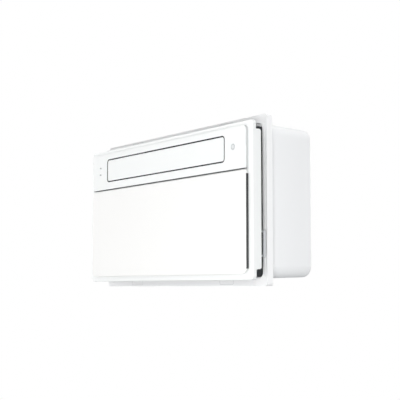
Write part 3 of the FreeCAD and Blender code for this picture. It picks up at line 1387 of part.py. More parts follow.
def compressor():
    body = doc.addObject("PartDesign::Body", "compressor_shell")
    bottom = basePanTop + d.grommetHeight
    foot = newSketch(body, "XY_Plane", bottom)
    circle(foot, 0, 0, d.compressorRadius)
    pad(body, foot, d.compressorHeight)
    top = bottom + d.compressorHeight
    roundEdges(body, d.compressorRadius * 0.35, lambda box: near(box.ZMin, box.ZMax) and box.XLength > 10)
    place(body, compressorX, compressorY, 0)
    feet = block(
        "feet_plate", (compressorX - 30, compressorY - 28, bottom - 2), (
            compressorX + 30, compressorY + 28, bottom
        )
    )
    spots = [
        (compressorX + x, compressorY + y) for x in mirrored(d.grommetSpreadX) for y in mirrored(d.grommetSpreadY)
    ]
    studHoles = [rod(f"feet_hole_{n}", "Z", (x, y, bottom - 5), 2.5, 10) for n, (x, y) in enumerate(spots)]
    footPlate = without("compressor_foot_plate", feet, studHoles)
    keep(joined("compressor_welded", [body, footPlate]), "compressor")
    rings = []
    for n, (x, y) in enumerate(spots):
        solid = rod(f"grommet_{n}_outer", "Z", (x, y, basePanTop), 6, d.grommetHeight - 2)
        hole = rod(f"grommet_{n}_inner", "Z", (x, y, basePanTop - 1), 2.5, 12)
        rings.append(without(f"grommet_{n}", solid, [hole]))
    keep(group("compressor_grommets", rings), "compressor_grommets")
    accumulatorBottom = bottom + 30
    vessel = doc.addObject("Part::Fillet", "accumulator_vessel")
    vessel.Base = rod(
        "accumulator_blank", "Z", (accumulatorX, compressorY, accumulatorBottom), d.accumulatorRadius, d.accumulatorHeight
    )
    doc.recompute()
    rims = [n for n, edge in enumerate(vessel.Base.Shape.Edges, 1) if edge.BoundBox.ZLength < 0.01]
    radius = d.accumulatorRadius.value * 0.6
    vessel.Edges = [(n, radius, radius) for n in rims]
    elbow = rod(
        "accumulator_elbow", "X", (compressorX + d.compressorRadius - 0.2, compressorY, accumulatorBottom + 12), 3,
        accumulatorX - compressorX - d.compressorRadius - 2,
    )
    keep(joined("accumulator", [vessel, elbow]), "accumulator")
    return top, accumulatorBottom + d.accumulatorHeight


def bentPipe(label, points, radius, bend):
    # A tube along straight runs joined by tangent arcs.
    vectors = [Vector(*[lift(value).value for value in point]) for point in points]
    edges, start = [], vectors[0]
    for before, corner, after in zip(vectors, vectors[1:], vectors[2:]):
        entering, leaving = (corner - before).normalize(), (after - corner).normalize()
        size = min(bend, 0.45 * (corner - before).Length, 0.45 * (after - corner).Length)
        first, last = corner - entering * size, corner + leaving * size
        middle = corner - (entering - leaving).normalize() * size * (2 ** 0.5 - 1)
        edges.append(Part.LineSegment(start, first).toShape())
        edges.append(Part.Arc(first, middle, last).toShape())
        start = last
    edges.append(Part.LineSegment(start, vectors[-1]).toShape())
    along = (vectors[1] - vectors[0]).normalize()
    profile = Part.Wire(Part.makeCircle(radius, vectors[0], along))
    feature = doc.addObject("Part::Feature", label)
    feature.Shape = Part.Wire(edges).makePipeShell([profile], True, False)
    return keep(feature, label)


def refrigerantPipes(compressorTop, accumulatorTop):
    bend = d.pipeBend.value
    condenserPitch = (condenserTop - condenserBottom) / d.condenserRows
    condenserEnd = condenserRight + 1 + 4
    highRow, lowRow = condenserTop - condenserPitch / 2, condenserBottom + condenserPitch / 2
    bentPipe("discharge_pipe", [
        (compressorX, compressorY, compressorTop), (compressorX, compressorY, highRow),
        (condenserEnd + 14, compressorY, highRow), (condenserEnd + 14, condenserY, highRow),
        (condenserEnd, condenserY, highRow),
    ], d.pipeRadius.value, bend)
    evaporatorEnd = evaporatorX + 3 + evaporatorReach
    bentPipe("suction_pipe", [
        (evaporatorEnd, evaporatorY, suctionZ), (accumulatorX, evaporatorY, suctionZ),
        (accumulatorX, compressorY, suctionZ), (accumulatorX, compressorY, accumulatorTop),
    ], d.pipeRadius.value, bend)
    behindFoam = outdoorFront + d.liquidPipeRadius
    bentPipe("liquid_pipe", [
        (condenserEnd, condenserY, lowRow), (condenserEnd + 12, condenserY, lowRow),
        (condenserEnd + 12, behindFoam, lowRow), (condenserEnd + 12, behindFoam, liquidZ - 14),
        (liquidX - 20, behindFoam, liquidZ - 14), (liquidX - 20, behindFoam, liquidZ + 14),
        (liquidX, behindFoam, liquidZ + 14), (liquidX, behindFoam, liquidZ),
        (liquidX, evaporatorY, liquidZ), (evaporatorEnd, evaporatorY, liquidZ),
    ], d.liquidPipeRadius.value, bend)


def basePan():
    x, low = caseHalfWidth - d.caseCorner - 4, basePanTop - d.basePanThickness
    front, back = outdoorFront + 1, caseRearInner - d.caseRearRound
    outer = block("base_outer", (-x, front, low), (x, back, basePanTop + 5))
    wall = d.basePanThickness
    inner = block(
        "base_inner", (wall - x, front + wall, basePanTop), (x - wall, back - wall, basePanTop + 9)
    )
    # Feet under the sheet reach down to the case's sloping floor.
    footFront, footDepth = front + 8, 12
    floor = d.caseWall - caseHalfHeight + (footFront + footDepth - caseFront) * tangent(d.caseDraft)
    feet = [
        block(
            f"base_foot_{n}", (footX - 8, footFront, floor + d.seatGap),
            (footX + 8, footFront + footDepth, low + 0.5)
        )
        for n, footX in enumerate((-x + 30, lift(0), x - 30))
    ]
    keep(joined("base_pan", [without("base_tray", outer, [inner])] + feet), "base_pan")


def controls():
    x0, x1 = -housingHalfWidth + d.housingWall + d.seatGap, -ductOuter - 8
    y0, y1 = lift(-4), housingBackInner - d.seatGap
    z0, z1 = rotorZ - 36, housingTop - d.housingWall - d.seatGap
    outer = block("box_outer", (x0, y0, z0), (x1, y1, z1))
    inner = block("box_inner", (x0 + 2, y0 - 1, z0 + 2), (x1 - 2, y1 - 2, z1 - 2))
    keep(without("control_box", outer, [inner]), "control_box")
    board = block("board_sheet", (x0 + 2, y1 - 6, z0 + 3), (x1 - 2, y1 - 6 + d.boardThickness, z1 - 3))
    parts = [
        rod("board_capacitor", "Y", (x0 + 10, y0 + 14, z0 + 14), 5, y1 - y0 - 19.5),
        block("board_relay", (x0 + 18, y1 - 20, z0 + 8), (x0 + 28, y1 - 5.5, z0 + 24)),
        block("board_chip", (x0 + 6, y1 - 9, z0 + 40), (x0 + 24, y1 - 5.5, z0 + 58)),
        block("board_post", (x0 + 12, y1 - 5.5, z0 + 30), (x0 + 16, y1 - 2, z0 + 34)),
    ]
    keep(joined("control_board", [board] + parts), "control_board")


mountingFlange()
screwCovers()
rearCase()
caseGasket()
condenserGrille()
fanGuard()
cableGland()
frontBezel()
bezelScrews()
intakeGrille()
intakePlenum()
upperPanel()
statusLight()
receiverWindow()
indicatorLenses()
displayBoard()
intakePanel()
hingeBrackets()
hingePins()
outletFlap()
flapMotor()
ductEnd("duct_end_left", -1)
ductEnd("duct_end_right", 1)
blowerScroll()
outletFloor()
for number, x in enumerate(vanePlaces, start=1):
    swingVane(number, x)
linkBar()
swingMotor()
crossflowRotor()
rotorShafts()
rotorBearing()
blowerMotor()
airFilter()
evaporator()
drainPan()
indoorHousing()
insulationSheet()
condenser()
axialFan()
outdoorFanMotor()
fanShroud()
refrigerantPipes(*compressor())
basePan()
controls()

doc.recompute()
for item in doc.Objects:
    if "Invalid" in item.State or "Error" in item.State:
        raise RuntimeError(f"{item.Label} failed to build: {item.State}")
for label, feature in pieces:
    if feature.Shape.isNull() or not feature.Shape.isValid():
        raise RuntimeError(f"{label} has no valid shape")

os.makedirs("parts", exist_ok=True)
for label, feature in pieces:
    feature.Shape.exportStep(f"parts/{label}.step")
print(f"{len(pieces)} pieces written")
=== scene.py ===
import json
import math
import bpy
import bmesh
from mathutils import Matrix, Vector


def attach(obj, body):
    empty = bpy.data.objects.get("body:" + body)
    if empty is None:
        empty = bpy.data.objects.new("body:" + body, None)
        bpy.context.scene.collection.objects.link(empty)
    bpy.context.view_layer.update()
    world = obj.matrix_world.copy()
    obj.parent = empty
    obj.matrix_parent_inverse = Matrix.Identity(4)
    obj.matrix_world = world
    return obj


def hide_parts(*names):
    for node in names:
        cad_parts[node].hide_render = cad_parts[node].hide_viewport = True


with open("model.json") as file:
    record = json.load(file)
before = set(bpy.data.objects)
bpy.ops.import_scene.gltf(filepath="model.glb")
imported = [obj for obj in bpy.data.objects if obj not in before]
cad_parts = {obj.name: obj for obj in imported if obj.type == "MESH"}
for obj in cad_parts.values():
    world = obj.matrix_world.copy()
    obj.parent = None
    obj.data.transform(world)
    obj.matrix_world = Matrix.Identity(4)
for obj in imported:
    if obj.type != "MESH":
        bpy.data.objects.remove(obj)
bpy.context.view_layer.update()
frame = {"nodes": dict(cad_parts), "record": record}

scene = bpy.context.scene
nodes = frame["nodes"]


def makeCamera():
    values = {
        "place": (1.932, -1.319, -0.18325), "aim": (0.084, -0.015, 0.01495), "lens": 90, "sensor": 36,
        "nearest": 0.05, "farthest": 100,
    }
    data = bpy.data.cameras.new("studioCamera")
    data.lens, data.sensor_width = values["lens"], values["sensor"]
    data.clip_start, data.clip_end = values["nearest"], values["farthest"]
    camera = bpy.data.objects.new("studioCamera", data)
    camera.location = values["place"]
    view = Vector(values["aim"]) - Vector(values["place"])
    camera.rotation_euler = view.to_track_quat("-Z", "Y").to_euler()
    scene.collection.objects.link(camera)
    scene.camera = camera


def makeFloor():
    values = {"height": -1.3, "radius": 40, "sides": 96}
    bm = bmesh.new()
    bmesh.ops.create_circle(bm, cap_ends=True, segments=values["sides"], radius=values["radius"])
    bmesh.ops.translate(bm, verts=bm.verts, vec=(0, 0, values["height"]))
    mesh = bpy.data.meshes.new("studioFloor")
    bm.to_mesh(mesh)
    bm.free()
    floor = bpy.data.objects.new("studioFloor", mesh)
    scene.collection.objects.link(floor)
    mesh.materials.append(floorPaint())


def floorPaint():
    # Pale to the eye, but a little darker for the light that it sends back up.
    values = {"seen": (1.0, 1.0, 1.0, 1), "bounce": (0.34, 0.345, 0.35, 1), "glow": 1.0}
    material = bpy.data.materials.new("paleFloor")
    material.use_nodes = True
    tree = material.node_tree
    tree.nodes.clear()
    out = tree.nodes.new("ShaderNodeOutputMaterial")
    mix = tree.nodes.new("ShaderNodeMixShader")
    path = tree.nodes.new("ShaderNodeLightPath")
    matte = tree.nodes.new("ShaderNodeBsdfDiffuse")
    glow = tree.nodes.new("ShaderNodeEmission")
    matte.inputs["Color"].default_value = values["bounce"]
    glow.inputs["Color"].default_value = values["seen"]
    glow.inputs["Strength"].default_value = values["glow"]
    tree.links.new(path.outputs["Is Camera Ray"], mix.inputs["Fac"])
    tree.links.new(matte.outputs[0], mix.inputs[1])
    tree.links.new(glow.outputs[0], mix.inputs[2])
    tree.links.new(mix.outputs[0], out.inputs["Surface"])
    return material


def makeWorld():
    # The dome is plain white to the eye, and brighter above than below as a light.
    values = {"seen": 1.0, "top": 0.40, "bottom": 0.25, "bottomAt": -0.5, "topAt": 0.9}
    world = bpy.data.worlds.new("studioDome")
    world.use_nodes = True
    scene.world = world
    tree = world.node_tree
    tree.nodes.clear()
    out = tree.nodes.new("ShaderNodeOutputWorld")
    mix = tree.nodes.new("ShaderNodeMixShader")
    path = tree.nodes.new("ShaderNodeLightPath")
    dome = tree.nodes.new("ShaderNodeBackground")
    plain = tree.nodes.new("ShaderNodeBackground")
    coords = tree.nodes.new("ShaderNodeTexCoord")
    split = tree.nodes.new("ShaderNodeSeparateXYZ")
    ramp = tree.nodes.new("ShaderNodeMapRange")
    for sky in (dome, plain):
        sky.inputs["Color"].default_value = (1, 1, 1, 1)
    plain.inputs["Strength"].default_value = values["seen"]
    limits = {"From Min": "bottomAt", "From Max": "topAt", "To Min": "bottom", "To Max": "top"}
    for label, key in limits.items():
        ramp.inputs[label].default_value = values[key]
    tree.links.new(coords.outputs["Generated"], split.inputs[0])
    tree.links.new(split.outputs["Z"], ramp.inputs["Value"])
    tree.links.new(ramp.outputs["Result"], dome.inputs["Strength"])
    tree.links.new(path.outputs["Is Camera Ray"], mix.inputs["Fac"])
    tree.links.new(dome.outputs[0], mix.inputs[1])
    tree.links.new(plain.outputs[0], mix.inputs[2])
    tree.links.new(mix.outputs[0], out.inputs["Surface"])


def makeLights():
    # A large soft box for each side of the object, so that every view is lit alike.
    boxes = {
        "lowSoftBox": {"place": (-0.5, -2.2, -1.05), "size": 1.5, "watts": 31.5},
        "highSoftBox": {"place": (-0.4, -2.0, 1.3), "size": 1.4, "watts": 8},
        "sideSoftBox": {"place": (2.25, -1.55, -0.35), "size": 1.5, "watts": 52},
        "topSoftBox": {"place": (0.3, 0.7, 2.7), "size": 2.0, "watts": 39},
        "backSoftBox": {"place": (0.5, 2.8, 0.3), "size": 2.2, "watts": 32},
        "leftSoftBox": {"place": (-2.8, 0.1, 0.3), "size": 2.0, "watts": 31},
    }
    for name, values in boxes.items():
        data = bpy.data.lights.new(name, "AREA")
        data.shape, data.size, data.energy = "SQUARE", values["size"], values["watts"]
        light = bpy.data.objects.new(name, data)
        light.location = values["place"]
        light.visible_camera = False
        light.rotation_euler = (-Vector(values["place"])).to_track_quat("-Z", "Y").to_euler()
        scene.collection.objects.link(light)


scene.view_settings.view_transform = "Standard"
makeCamera()
makeFloor()
makeWorld()
makeLights()
print("camera, floor and light are in")


def newGroup(name, inputs, outputs):
    group = bpy.data.node_groups.new(name, "ShaderNodeTree")
    for label, kind, value in inputs:
        socket = group.interface.new_socket(label, in_out="INPUT", socket_type=kind)
        socket.default_value = value
    for label, kind in outputs:
        group.interface.new_socket(label, in_out="OUTPUT", socket_type=kind)
    return group, group.nodes.new("NodeGroupInput"), group.nodes.new("NodeGroupOutput")


def mathNode(tree, operation, first, second=None):
    node = tree.nodes.new("ShaderNodeMath")
    node.operation = operation
    for socket, value in zip(node.inputs, (first, second)):
        if value is None:
            continue
        if isinstance(value, (int, float)):
            socket.default_value = value
        else:
            tree.links.new(value, socket)
    return node.outputs[0]


def mixColour(tree, factor, first, second):
    node = tree.nodes.new("ShaderNodeMix")
    node.data_type = "RGBA"
    for label, value in (("Factor", factor), ("A", first), ("B", second)):
        socket = node.inputs[label]
        if hasattr(value, "is_output"):
            tree.links.new(value, socket)
        else:
            socket.default_value = value
    return node.outputs["Result"]


def ramped(tree, value, low, high):
    node = tree.nodes.new("ShaderNodeMapRange")
    node.inputs["From Min"].default_value, node.inputs["From Max"].default_value = low, high
    tree.links.new(value, node.inputs["Value"])
    return node.outputs["Result"]


def noise(tree, coords, scale, detail=2.0):
    node = tree.nodes.new("ShaderNodeTexNoise")
    node.inputs["Detail"].default_value = detail
    tree.links.new(coords, node.inputs["Vector"])
    if hasattr(scale, "is_output"):
        tree.links.new(scale, node.inputs["Scale"])
    else:
        node.inputs["Scale"].default_value = scale
    return node.outputs["Fac"]


def mouldGroup():
    # Spark-eroded grain, slow waviness and patchy gloss of a moulded plastic.
    number = "NodeSocketFloat"
    group, start, end = newGroup(
        "mouldedGrain",
        [("Grain", number, 2600.0), ("Depth", number, 0.5), ("Sink", number, 0.2)],
        [("Height", number), ("Patch", number), ("Mottle", number)],
    )
    coords = group.nodes.new("ShaderNodeTexCoord").outputs["Object"]
    grain = noise(group, coords, start.outputs["Grain"], 3)
    waves = noise(group, coords, 9, 1)
    deepGrain = mathNode(group, "MULTIPLY", grain, start.outputs["Depth"])
    deepWaves = mathNode(group, "MULTIPLY", waves, start.outputs["Sink"])
    height = mathNode(group, "ADD", deepGrain, deepWaves)
    group.links.new(height, end.inputs["Height"])
    group.links.new(ramped(group, noise(group, coords, 26, 4), 0.35, 0.7), end.inputs["Patch"])
    group.links.new(ramped(group, noise(group, coords, 420, 2), 0.3, 0.75), end.inputs["Mottle"])
    return group


def edgeGroup():
    # A mask of the outer edges, where a finish is rubbed, broken up by noise.
    group, start, end = newGroup(
        "rubbedEdges",
        [("Width", "NodeSocketFloat", 0.0012), ("Amount", "NodeSocketFloat", 1.0)],
        [("Mask", "NodeSocketFloat")],
    )
    coords = group.nodes.new("ShaderNodeTexCoord").outputs["Object"]
    bevel = group.nodes.new("ShaderNodeBevel")
    bevel.samples = 4
    group.links.new(start.outputs["Width"], bevel.inputs["Radius"])
    geometry = group.nodes.new("ShaderNodeNewGeometry")
    dot = group.nodes.new("ShaderNodeVectorMath")
    dot.operation = "DOT_PRODUCT"
    group.links.new(bevel.outputs[0], dot.inputs[0])
    group.links.new(geometry.outputs["Normal"], dot.inputs[1])
    edge = ramped(group, mathNode(group, "SUBTRACT", 1.0, dot.outputs["Value"]), 0.02, 0.25)
    broken = ramped(group, noise(group, coords, 160, 4), 0.35, 0.62)
    mask = mathNode(group, "MULTIPLY", mathNode(group, "MULTIPLY", edge, broken), start.outputs["Amount"])
    group.links.new(mask, end.inputs["Mask"])
    return group


def dustGroup():
    # Dust lies on what faces up, in soft patches.
    group, start, end = newGroup(
        "settledDust", [("Amount", "NodeSocketFloat", 0.3)], [("Mask", "NodeSocketFloat")]
    )
    coords = group.nodes.new("ShaderNodeTexCoord").outputs["Object"]
    geometry = group.nodes.new("ShaderNodeNewGeometry")
    split = group.nodes.new("ShaderNodeSeparateXYZ")
    group.links.new(geometry.outputs["Normal"], split.inputs[0])
    facing = ramped(group, split.outputs["Z"], 0.3, 1.0)
    patches = ramped(group, noise(group, coords, 38, 6), 0.38, 0.72)
    mask = mathNode(group, "MULTIPLY", mathNode(group, "MULTIPLY", facing, patches), start.outputs["Amount"])
    group.links.new(mask, end.inputs["Mask"])
    return group


groups = {"mould": mouldGroup(), "edges": edgeGroup(), "dust": dustGroup()}
print("shared effects are built")


def newMaterial(name, colour, roughness, metallic=0.0, **sockets):
    material = bpy.data.materials.new(name)
    material.use_nodes = True
    shader = material.node_tree.nodes["Principled BSDF"]
    shader.inputs["Base Color"].default_value = (*colour, 1)
    shader.inputs["Roughness"].default_value = roughness
    shader.inputs["Metallic"].default_value = metallic
    for label, value in sockets.items():
        shader.inputs[label.replace("_", " ")].default_value = value
    return material, material.node_tree, shader


def placeGroup(tree, key, **values):
    node = tree.nodes.new("ShaderNodeGroup")
    node.node_tree = groups[key]
    for label, value in values.items():
        node.inputs[label].default_value = value
    return node.outputs


def bump(tree, shader, height, strength, distance):
    node = tree.nodes.new("ShaderNodeBump")
    node.inputs["Strength"].default_value = strength
    node.inputs["Distance"].default_value = distance
    tree.links.new(height, node.inputs["Height"])
    tree.links.new(node.outputs[0], shader.inputs["Normal"])


def objectCoords(tree, scale=(1, 1, 1), turn=(0, 0, 0)):
    mapping = tree.nodes.new("ShaderNodeMapping")
    mapping.inputs["Scale"].default_value = scale
    mapping.inputs["Rotation"].default_value = turn
    tree.links.new(tree.nodes.new("ShaderNodeTexCoord").outputs["Object"], mapping.inputs["Vector"])
    return mapping.outputs["Vector"]


def mouldedPlastic(name, colour, darker, rough, glossSpread, depth, grain, dust=0.0):
    # Any moulded part: patchy gloss, faint mottle, grain, and dust where it is wanted.
    dustTint = (0.5, 0.48, 0.45)
    material, tree, shader = newMaterial(name, colour, rough)
    mould = placeGroup(tree, "mould", Grain=grain, Depth=depth)
    tone = mixColour(tree, mathNode(tree, "MULTIPLY", mould["Mottle"], 0.35), (*colour, 1), (*darker, 1))
    if dust:
        tone = mixColour(tree, placeGroup(tree, "dust", Amount=dust)["Mask"], tone, (*dustTint, 1))
    tree.links.new(tone, shader.inputs["Base Color"])
    gloss = mathNode(tree, "ADD", rough, mathNode(tree, "MULTIPLY", mould["Patch"], glossSpread))
    tree.links.new(gloss, shader.inputs["Roughness"])
    bump(tree, shader, mould["Height"], 0.25, 0.00012)
    return material


def galvanisedSheet():
    # Zinc spangle: flat crystals of slightly different tone.
    material, tree, shader = newMaterial("galvanisedSheet", (0.56, 0.58, 0.60), 0.42, 0.85)
    crystals = tree.nodes.new("ShaderNodeTexVoronoi")
    crystals.inputs["Scale"].default_value = 130
    tree.links.new(objectCoords(tree), crystals.inputs["Vector"])
    split = tree.nodes.new("ShaderNodeSeparateColor")
    tree.links.new(crystals.outputs["Color"], split.inputs[0])
    tone = mixColour(tree, split.outputs[0], (0.46, 0.48, 0.50, 1), (0.66, 0.68, 0.70, 1))
    wear = placeGroup(tree, "edges", Width=0.0008, Amount=0.7)["Mask"]
    tree.links.new(mixColour(tree, wear, tone, (0.74, 0.75, 0.76, 1)), shader.inputs["Base Color"])
    rough = mathNode(tree, "ADD", 0.32, mathNode(tree, "MULTIPLY", split.outputs[1], 0.2))
    tree.links.new(rough, shader.inputs["Roughness"])
    return material


def brushedSteel():
    # Fine lines round a turned shaft.
    material, tree, shader = newMaterial("turnedSteel", (0.64, 0.65, 0.67), 0.28, 1.0)
    lines = noise(tree, objectCoords(tree, (2400, 60, 60)), 1.0, 2)
    tone = mixColour(tree, lines, (0.5, 0.51, 0.53, 1), (0.74, 0.75, 0.77, 1))
    tree.links.new(tone, shader.inputs["Base Color"])
    rough = mathNode(tree, "ADD", 0.2, mathNode(tree, "MULTIPLY", lines, 0.2))
    tree.links.new(rough, shader.inputs["Roughness"])
    bump(tree, shader, lines, 0.2, 0.00005)
    return material


def drawnCopper():
    material, tree, shader = newMaterial("drawnCopper", (0.72, 0.36, 0.22), 0.3, 1.0)
    stain = ramped(tree, noise(tree, objectCoords(tree), 60, 5), 0.4, 0.7)
    tone = mixColour(tree, stain, (0.78, 0.42, 0.27, 1), (0.42, 0.21, 0.13, 1))
    tree.links.new(tone, shader.inputs["Base Color"])
    rough = mathNode(tree, "ADD", 0.22, mathNode(tree, "MULTIPLY", stain, 0.3))
    tree.links.new(rough, shader.inputs["Roughness"])
    return material


def finAluminium():
    material, tree, shader = newMaterial("finAluminium", (0.74, 0.77, 0.80), 0.36, 0.9)
    ripples = noise(tree, objectCoords(tree, (40, 900, 60)), 1.0, 3)
    tone = mixColour(tree, ripples, (0.62, 0.66, 0.70, 1), (0.82, 0.85, 0.88, 1))
    tree.links.new(tone, shader.inputs["Base Color"])
    bump(tree, shader, ripples, 0.3, 0.0001)
    return material


def blackEnamel():
    material, tree, shader = newMaterial("blackEnamel", (0.022, 0.022, 0.025), 0.24, 0.0, Coat_Weight=0.5)
    peel = noise(tree, objectCoords(tree), 700, 2)
    bump(tree, shader, peel, 0.25, 0.00015)
    wear = placeGroup(tree, "edges", Width=0.001, Amount=0.8)["Mask"]
    tone = mixColour(tree, wear, (0.022, 0.022, 0.025, 1), (0.2, 0.19, 0.18, 1))
    tree.links.new(tone, shader.inputs["Base Color"])
    return material


def cellFoam(name, pale, dark, size, depth):
    # Expanded beads or closed cells, each with its own slight tone.
    material, tree, shader = newMaterial(name, pale, 0.85)
    cells = tree.nodes.new("ShaderNodeTexVoronoi")
    cells.inputs["Scale"].default_value = 1 / size
    tree.links.new(objectCoords(tree), cells.inputs["Vector"])
    rim = ramped(tree, cells.outputs["Distance"], 0.25, 0.75)
    tree.links.new(mixColour(tree, rim, (*pale, 1), (*dark, 1)), shader.inputs["Base Color"])
    bump(tree, shader, mathNode(tree, "SUBTRACT", 1.0, cells.outputs["Distance"]), 0.5, depth)
    return material


def rubberBlack():
    material, tree, shader = newMaterial("blackRubber", (0.03, 0.03, 0.03), 0.62)
    bloom = ramped(tree, noise(tree, objectCoords(tree), 90, 5), 0.4, 0.8)
    tone = mixColour(tree, bloom, (0.022, 0.022, 0.023, 1), (0.07, 0.07, 0.072, 1))
    tree.links.new(tone, shader.inputs["Base Color"])
    bump(tree, shader, noise(tree, objectCoords(tree), 1800, 2), 0.3, 0.0001)
    return material


def circuitGreen():
    # Solder mask with straight tracks under it.
    material, tree, shader = newMaterial("circuitGreen", (0.02, 0.16, 0.08), 0.3, 0.0, Coat_Weight=0.4)
    tracks = tree.nodes.new("ShaderNodeTexBrick")
    tracks.inputs["Scale"].default_value = 220
    tracks.inputs["Mortar Size"].default_value = 0.06
    tracks.inputs["Color1"].default_value = (0.015, 0.13, 0.06, 1)
    tracks.inputs["Color2"].default_value = (0.02, 0.17, 0.08, 1)
    tracks.inputs["Mortar"].default_value = (0.06, 0.30, 0.15, 1)
    tree.links.new(objectCoords(tree, turn=(math.pi / 2, 0, 0)), tracks.inputs["Vector"])
    tree.links.new(tracks.outputs["Color"], shader.inputs["Base Color"])
    return material


def lens(name, colour, rough):
    # A smooth window under a clear coat, a little hazy.
    material, tree, shader = newMaterial(name, colour, rough, 0.0, Coat_Weight=0.6)
    haze = noise(tree, objectCoords(tree), 300, 3)
    gloss = mathNode(tree, "ADD", rough, mathNode(tree, "MULTIPLY", haze, 0.12))
    tree.links.new(gloss, shader.inputs["Roughness"])
    tone = mixColour(tree, haze, (*colour, 1), (*[c * 0.9 for c in colour], 1))
    tree.links.new(tone, shader.inputs["Base Color"])
    return material


plastics = {
    # Each has a name, a colour, a darker tone, roughness, gloss spread, grain depth, grain fineness and dust.
    "case_white": ("caseWhite", (0.90, 0.91, 0.92), (0.88, 0.89, 0.90), 0.45, 0.08, 0.5, 2200, 0.05),
    "panel_white": ("panelWhite", (0.915, 0.93, 0.925), (0.905, 0.92, 0.915), 0.34, 0.03, 0.12, 3200),
    "intake_white": ("intakeWhite", (0.935, 0.932, 0.92), (0.925, 0.922, 0.91), 0.34, 0.03, 0.1, 3200),
    "grey_plastic": ("greyPlastic", (0.60, 0.62, 0.64), (0.55, 0.57, 0.59), 0.45, 0.12, 0.9, 1900, 0.35),
    # Dark plastic; on the intake plenum behind the bezel it is also painted shade, so the corner openings
    # read black.
    "charcoal_plastic": (
        "charcoalPlasticAndShade", (0.035, 0.038, 0.042), (0.05, 0.053, 0.058),
        0.5, 0.15, 1.0, 1800, 0.25,
    ),
    "black_plastic": (
        "blackPlastic", (0.022, 0.022, 0.025), (0.035, 0.035, 0.038),
        0.4, 0.15, 0.8, 1800, 0.35,
    ),
    "duct_foam": ("ductGrey", (0.05, 0.052, 0.056), (0.065, 0.068, 0.072), 0.6, 0.12, 1.0, 1500, 0.12),
    "printGrey": ("printGrey", (0.20, 0.21, 0.22), (0.24, 0.25, 0.26), 0.5, 0.05, 0.1, 3000),
    # Grey for the real seams round the screw covers, and painted shade on the upper panel's side wall.
    "seamAndShadeGrey": ("seamAndShadeGrey", (0.56, 0.57, 0.575), (0.54, 0.55, 0.555), 0.5, 0.05, 0.2, 2600),
    # Brighter than the other whites: painted light on the flange rim, which the bezel shades.
    "flangeWhitePaintedLight": ("flangeWhitePaintedLight", (0.945, 0.95, 0.955), (0.93, 0.935, 0.94), 0.45, 0.08, 0.5, 2200, 0.04),
    "filter_mesh": ("nylonNet", (0.12, 0.13, 0.15), (0.2, 0.21, 0.23), 0.5, 0.2, 0.4, 1500, 0.5),
}
finishes = {slot: mouldedPlastic(*values) for slot, values in plastics.items()}
finishes.update({
    "white_foam": cellFoam("whiteBeadFoam", (0.80, 0.81, 0.81), (0.66, 0.67, 0.67), 0.0035, 0.0004),
    "black_foam": cellFoam("blackCellFoam", (0.03, 0.03, 0.032), (0.012, 0.012, 0.013), 0.0012, 0.0003),
    "black_rubber": rubberBlack(),
    "lampDark": lens("lampDark", (0.03, 0.032, 0.035), 0.15),
    # Grey foam for the seal between the panels, and painted shade down the intake panel's side walls.
    "sealAndShadeGrey": cellFoam("sealAndShadeGrey", (0.07, 0.072, 0.075), (0.04, 0.041, 0.043), 0.0009, 0.0001),
    "sealBlack": cellFoam("sealBlack", (0.010, 0.010, 0.011), (0.006, 0.006, 0.007), 0.0009, 0.0001),
    "light_lens": lens("frostedLens", (0.78, 0.81, 0.83), 0.3),
    "smoked_lens": lens("receiverLens", (0.83, 0.85, 0.86), 0.2),
    "circuit_board": circuitGreen(),
    "zinc_steel": galvanisedSheet(),
    "bright_steel": brushedSteel(),
    "black_enamel": blackEnamel(),
    "fin_aluminium": finAluminium(),
    "copper": drawnCopper(),
})
slotOf = {part["node"]: part["material_slot"] for part in frame["record"]["subparts"]}
bodies = frame["record"]["behaviour"]["bodies"]
bodyOf = {node: body for body, members in bodies.items() for node in members}
for name, node in nodes.items():
    node.data.materials.clear()
    node.data.materials.append(finishes[slotOf[name]])
print("materials are on every CAD node")


def evenNormals(piece):
    # Large flat faces keep their own normal, so that the small rounds beside them don't bend the light.
    modifier = piece.modifiers.new("even", "WEIGHTED_NORMAL")
    modifier.keep_sharp = True
    view = bpy.context.evaluated_depsgraph_get()
    view.update()
    baked = bpy.data.meshes.new_from_object(piece.evaluated_get(view))
    piece.modifiers.clear()
    old = piece.data
    piece.data = baked
    bpy.data.meshes.remove(old)
    baked.name = piece.name


def finishPiece(name, bm, like, material=None, replaced=(), smoothAngle=35, even=False):
    # Turns a bmesh into a piece that rides with the CAD node it belongs to.
    bmesh.ops.recalc_face_normals(bm, faces=bm.faces)
    mesh = bpy.data.meshes.new(name)
    bm.to_mesh(mesh)
    bm.free()
    mesh.shade_smooth()
    mesh.set_sharp_from_angle(angle=math.radians(smoothAngle))
    mesh.materials.append(material or finishes[slotOf[like]])
    piece = bpy.data.objects.new(name, mesh)
    scene.collection.objects.link(piece)
    if even:
        evenNormals(piece)
    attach(piece, bodyOf[like])
    if replaced:
        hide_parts(*replaced)
    return piece


def softened(node, width, segments=2, sharp=40):
    # The CAD shape with every sharp edge broken by a small round, as a mould leaves it.
    bm = bmesh.new()
    bm.from_mesh(nodes[node].data)
    bmesh.ops.remove_doubles(bm, verts=bm.verts, dist=1e-6)
    bmesh.ops.dissolve_limit(bm, angle_limit=math.radians(0.5), verts=bm.verts, edges=bm.edges)
    edges = [edge for edge in bm.edges if edge.is_manifold and edge.calc_face_angle(0) > math.radians(sharp)]
    bmesh.ops.bevel(
        bm, geom=edges, offset=width, offset_type="OFFSET", affect="EDGES", segments=segments, profile=0.5,
        material=-1, clamp_overlap=True, loop_slide=True,
    )
    return finishPiece(node + "_soft", bm, node, replaced=(node,), smoothAngle=50, even=True)


def extent(node):
    corners = [vertex.co for vertex in nodes[node].data.vertices]
    low = Vector([min(corner[axis] for corner in corners) for axis in range(3)])
    high = Vector([max(corner[axis] for corner in corners) for axis in range(3)])
    return low, high


def addBox(bm, low, high, turn=None):
    low, high = Vector(low), Vector(high)
    size, middle = high - low, (low + high) / 2
    place = Matrix.Translation(middle) @ (turn or Matrix()) @ Matrix.Diagonal((*size, 1))
    return bmesh.ops.create_cube(bm, size=1, matrix=place)["verts"]


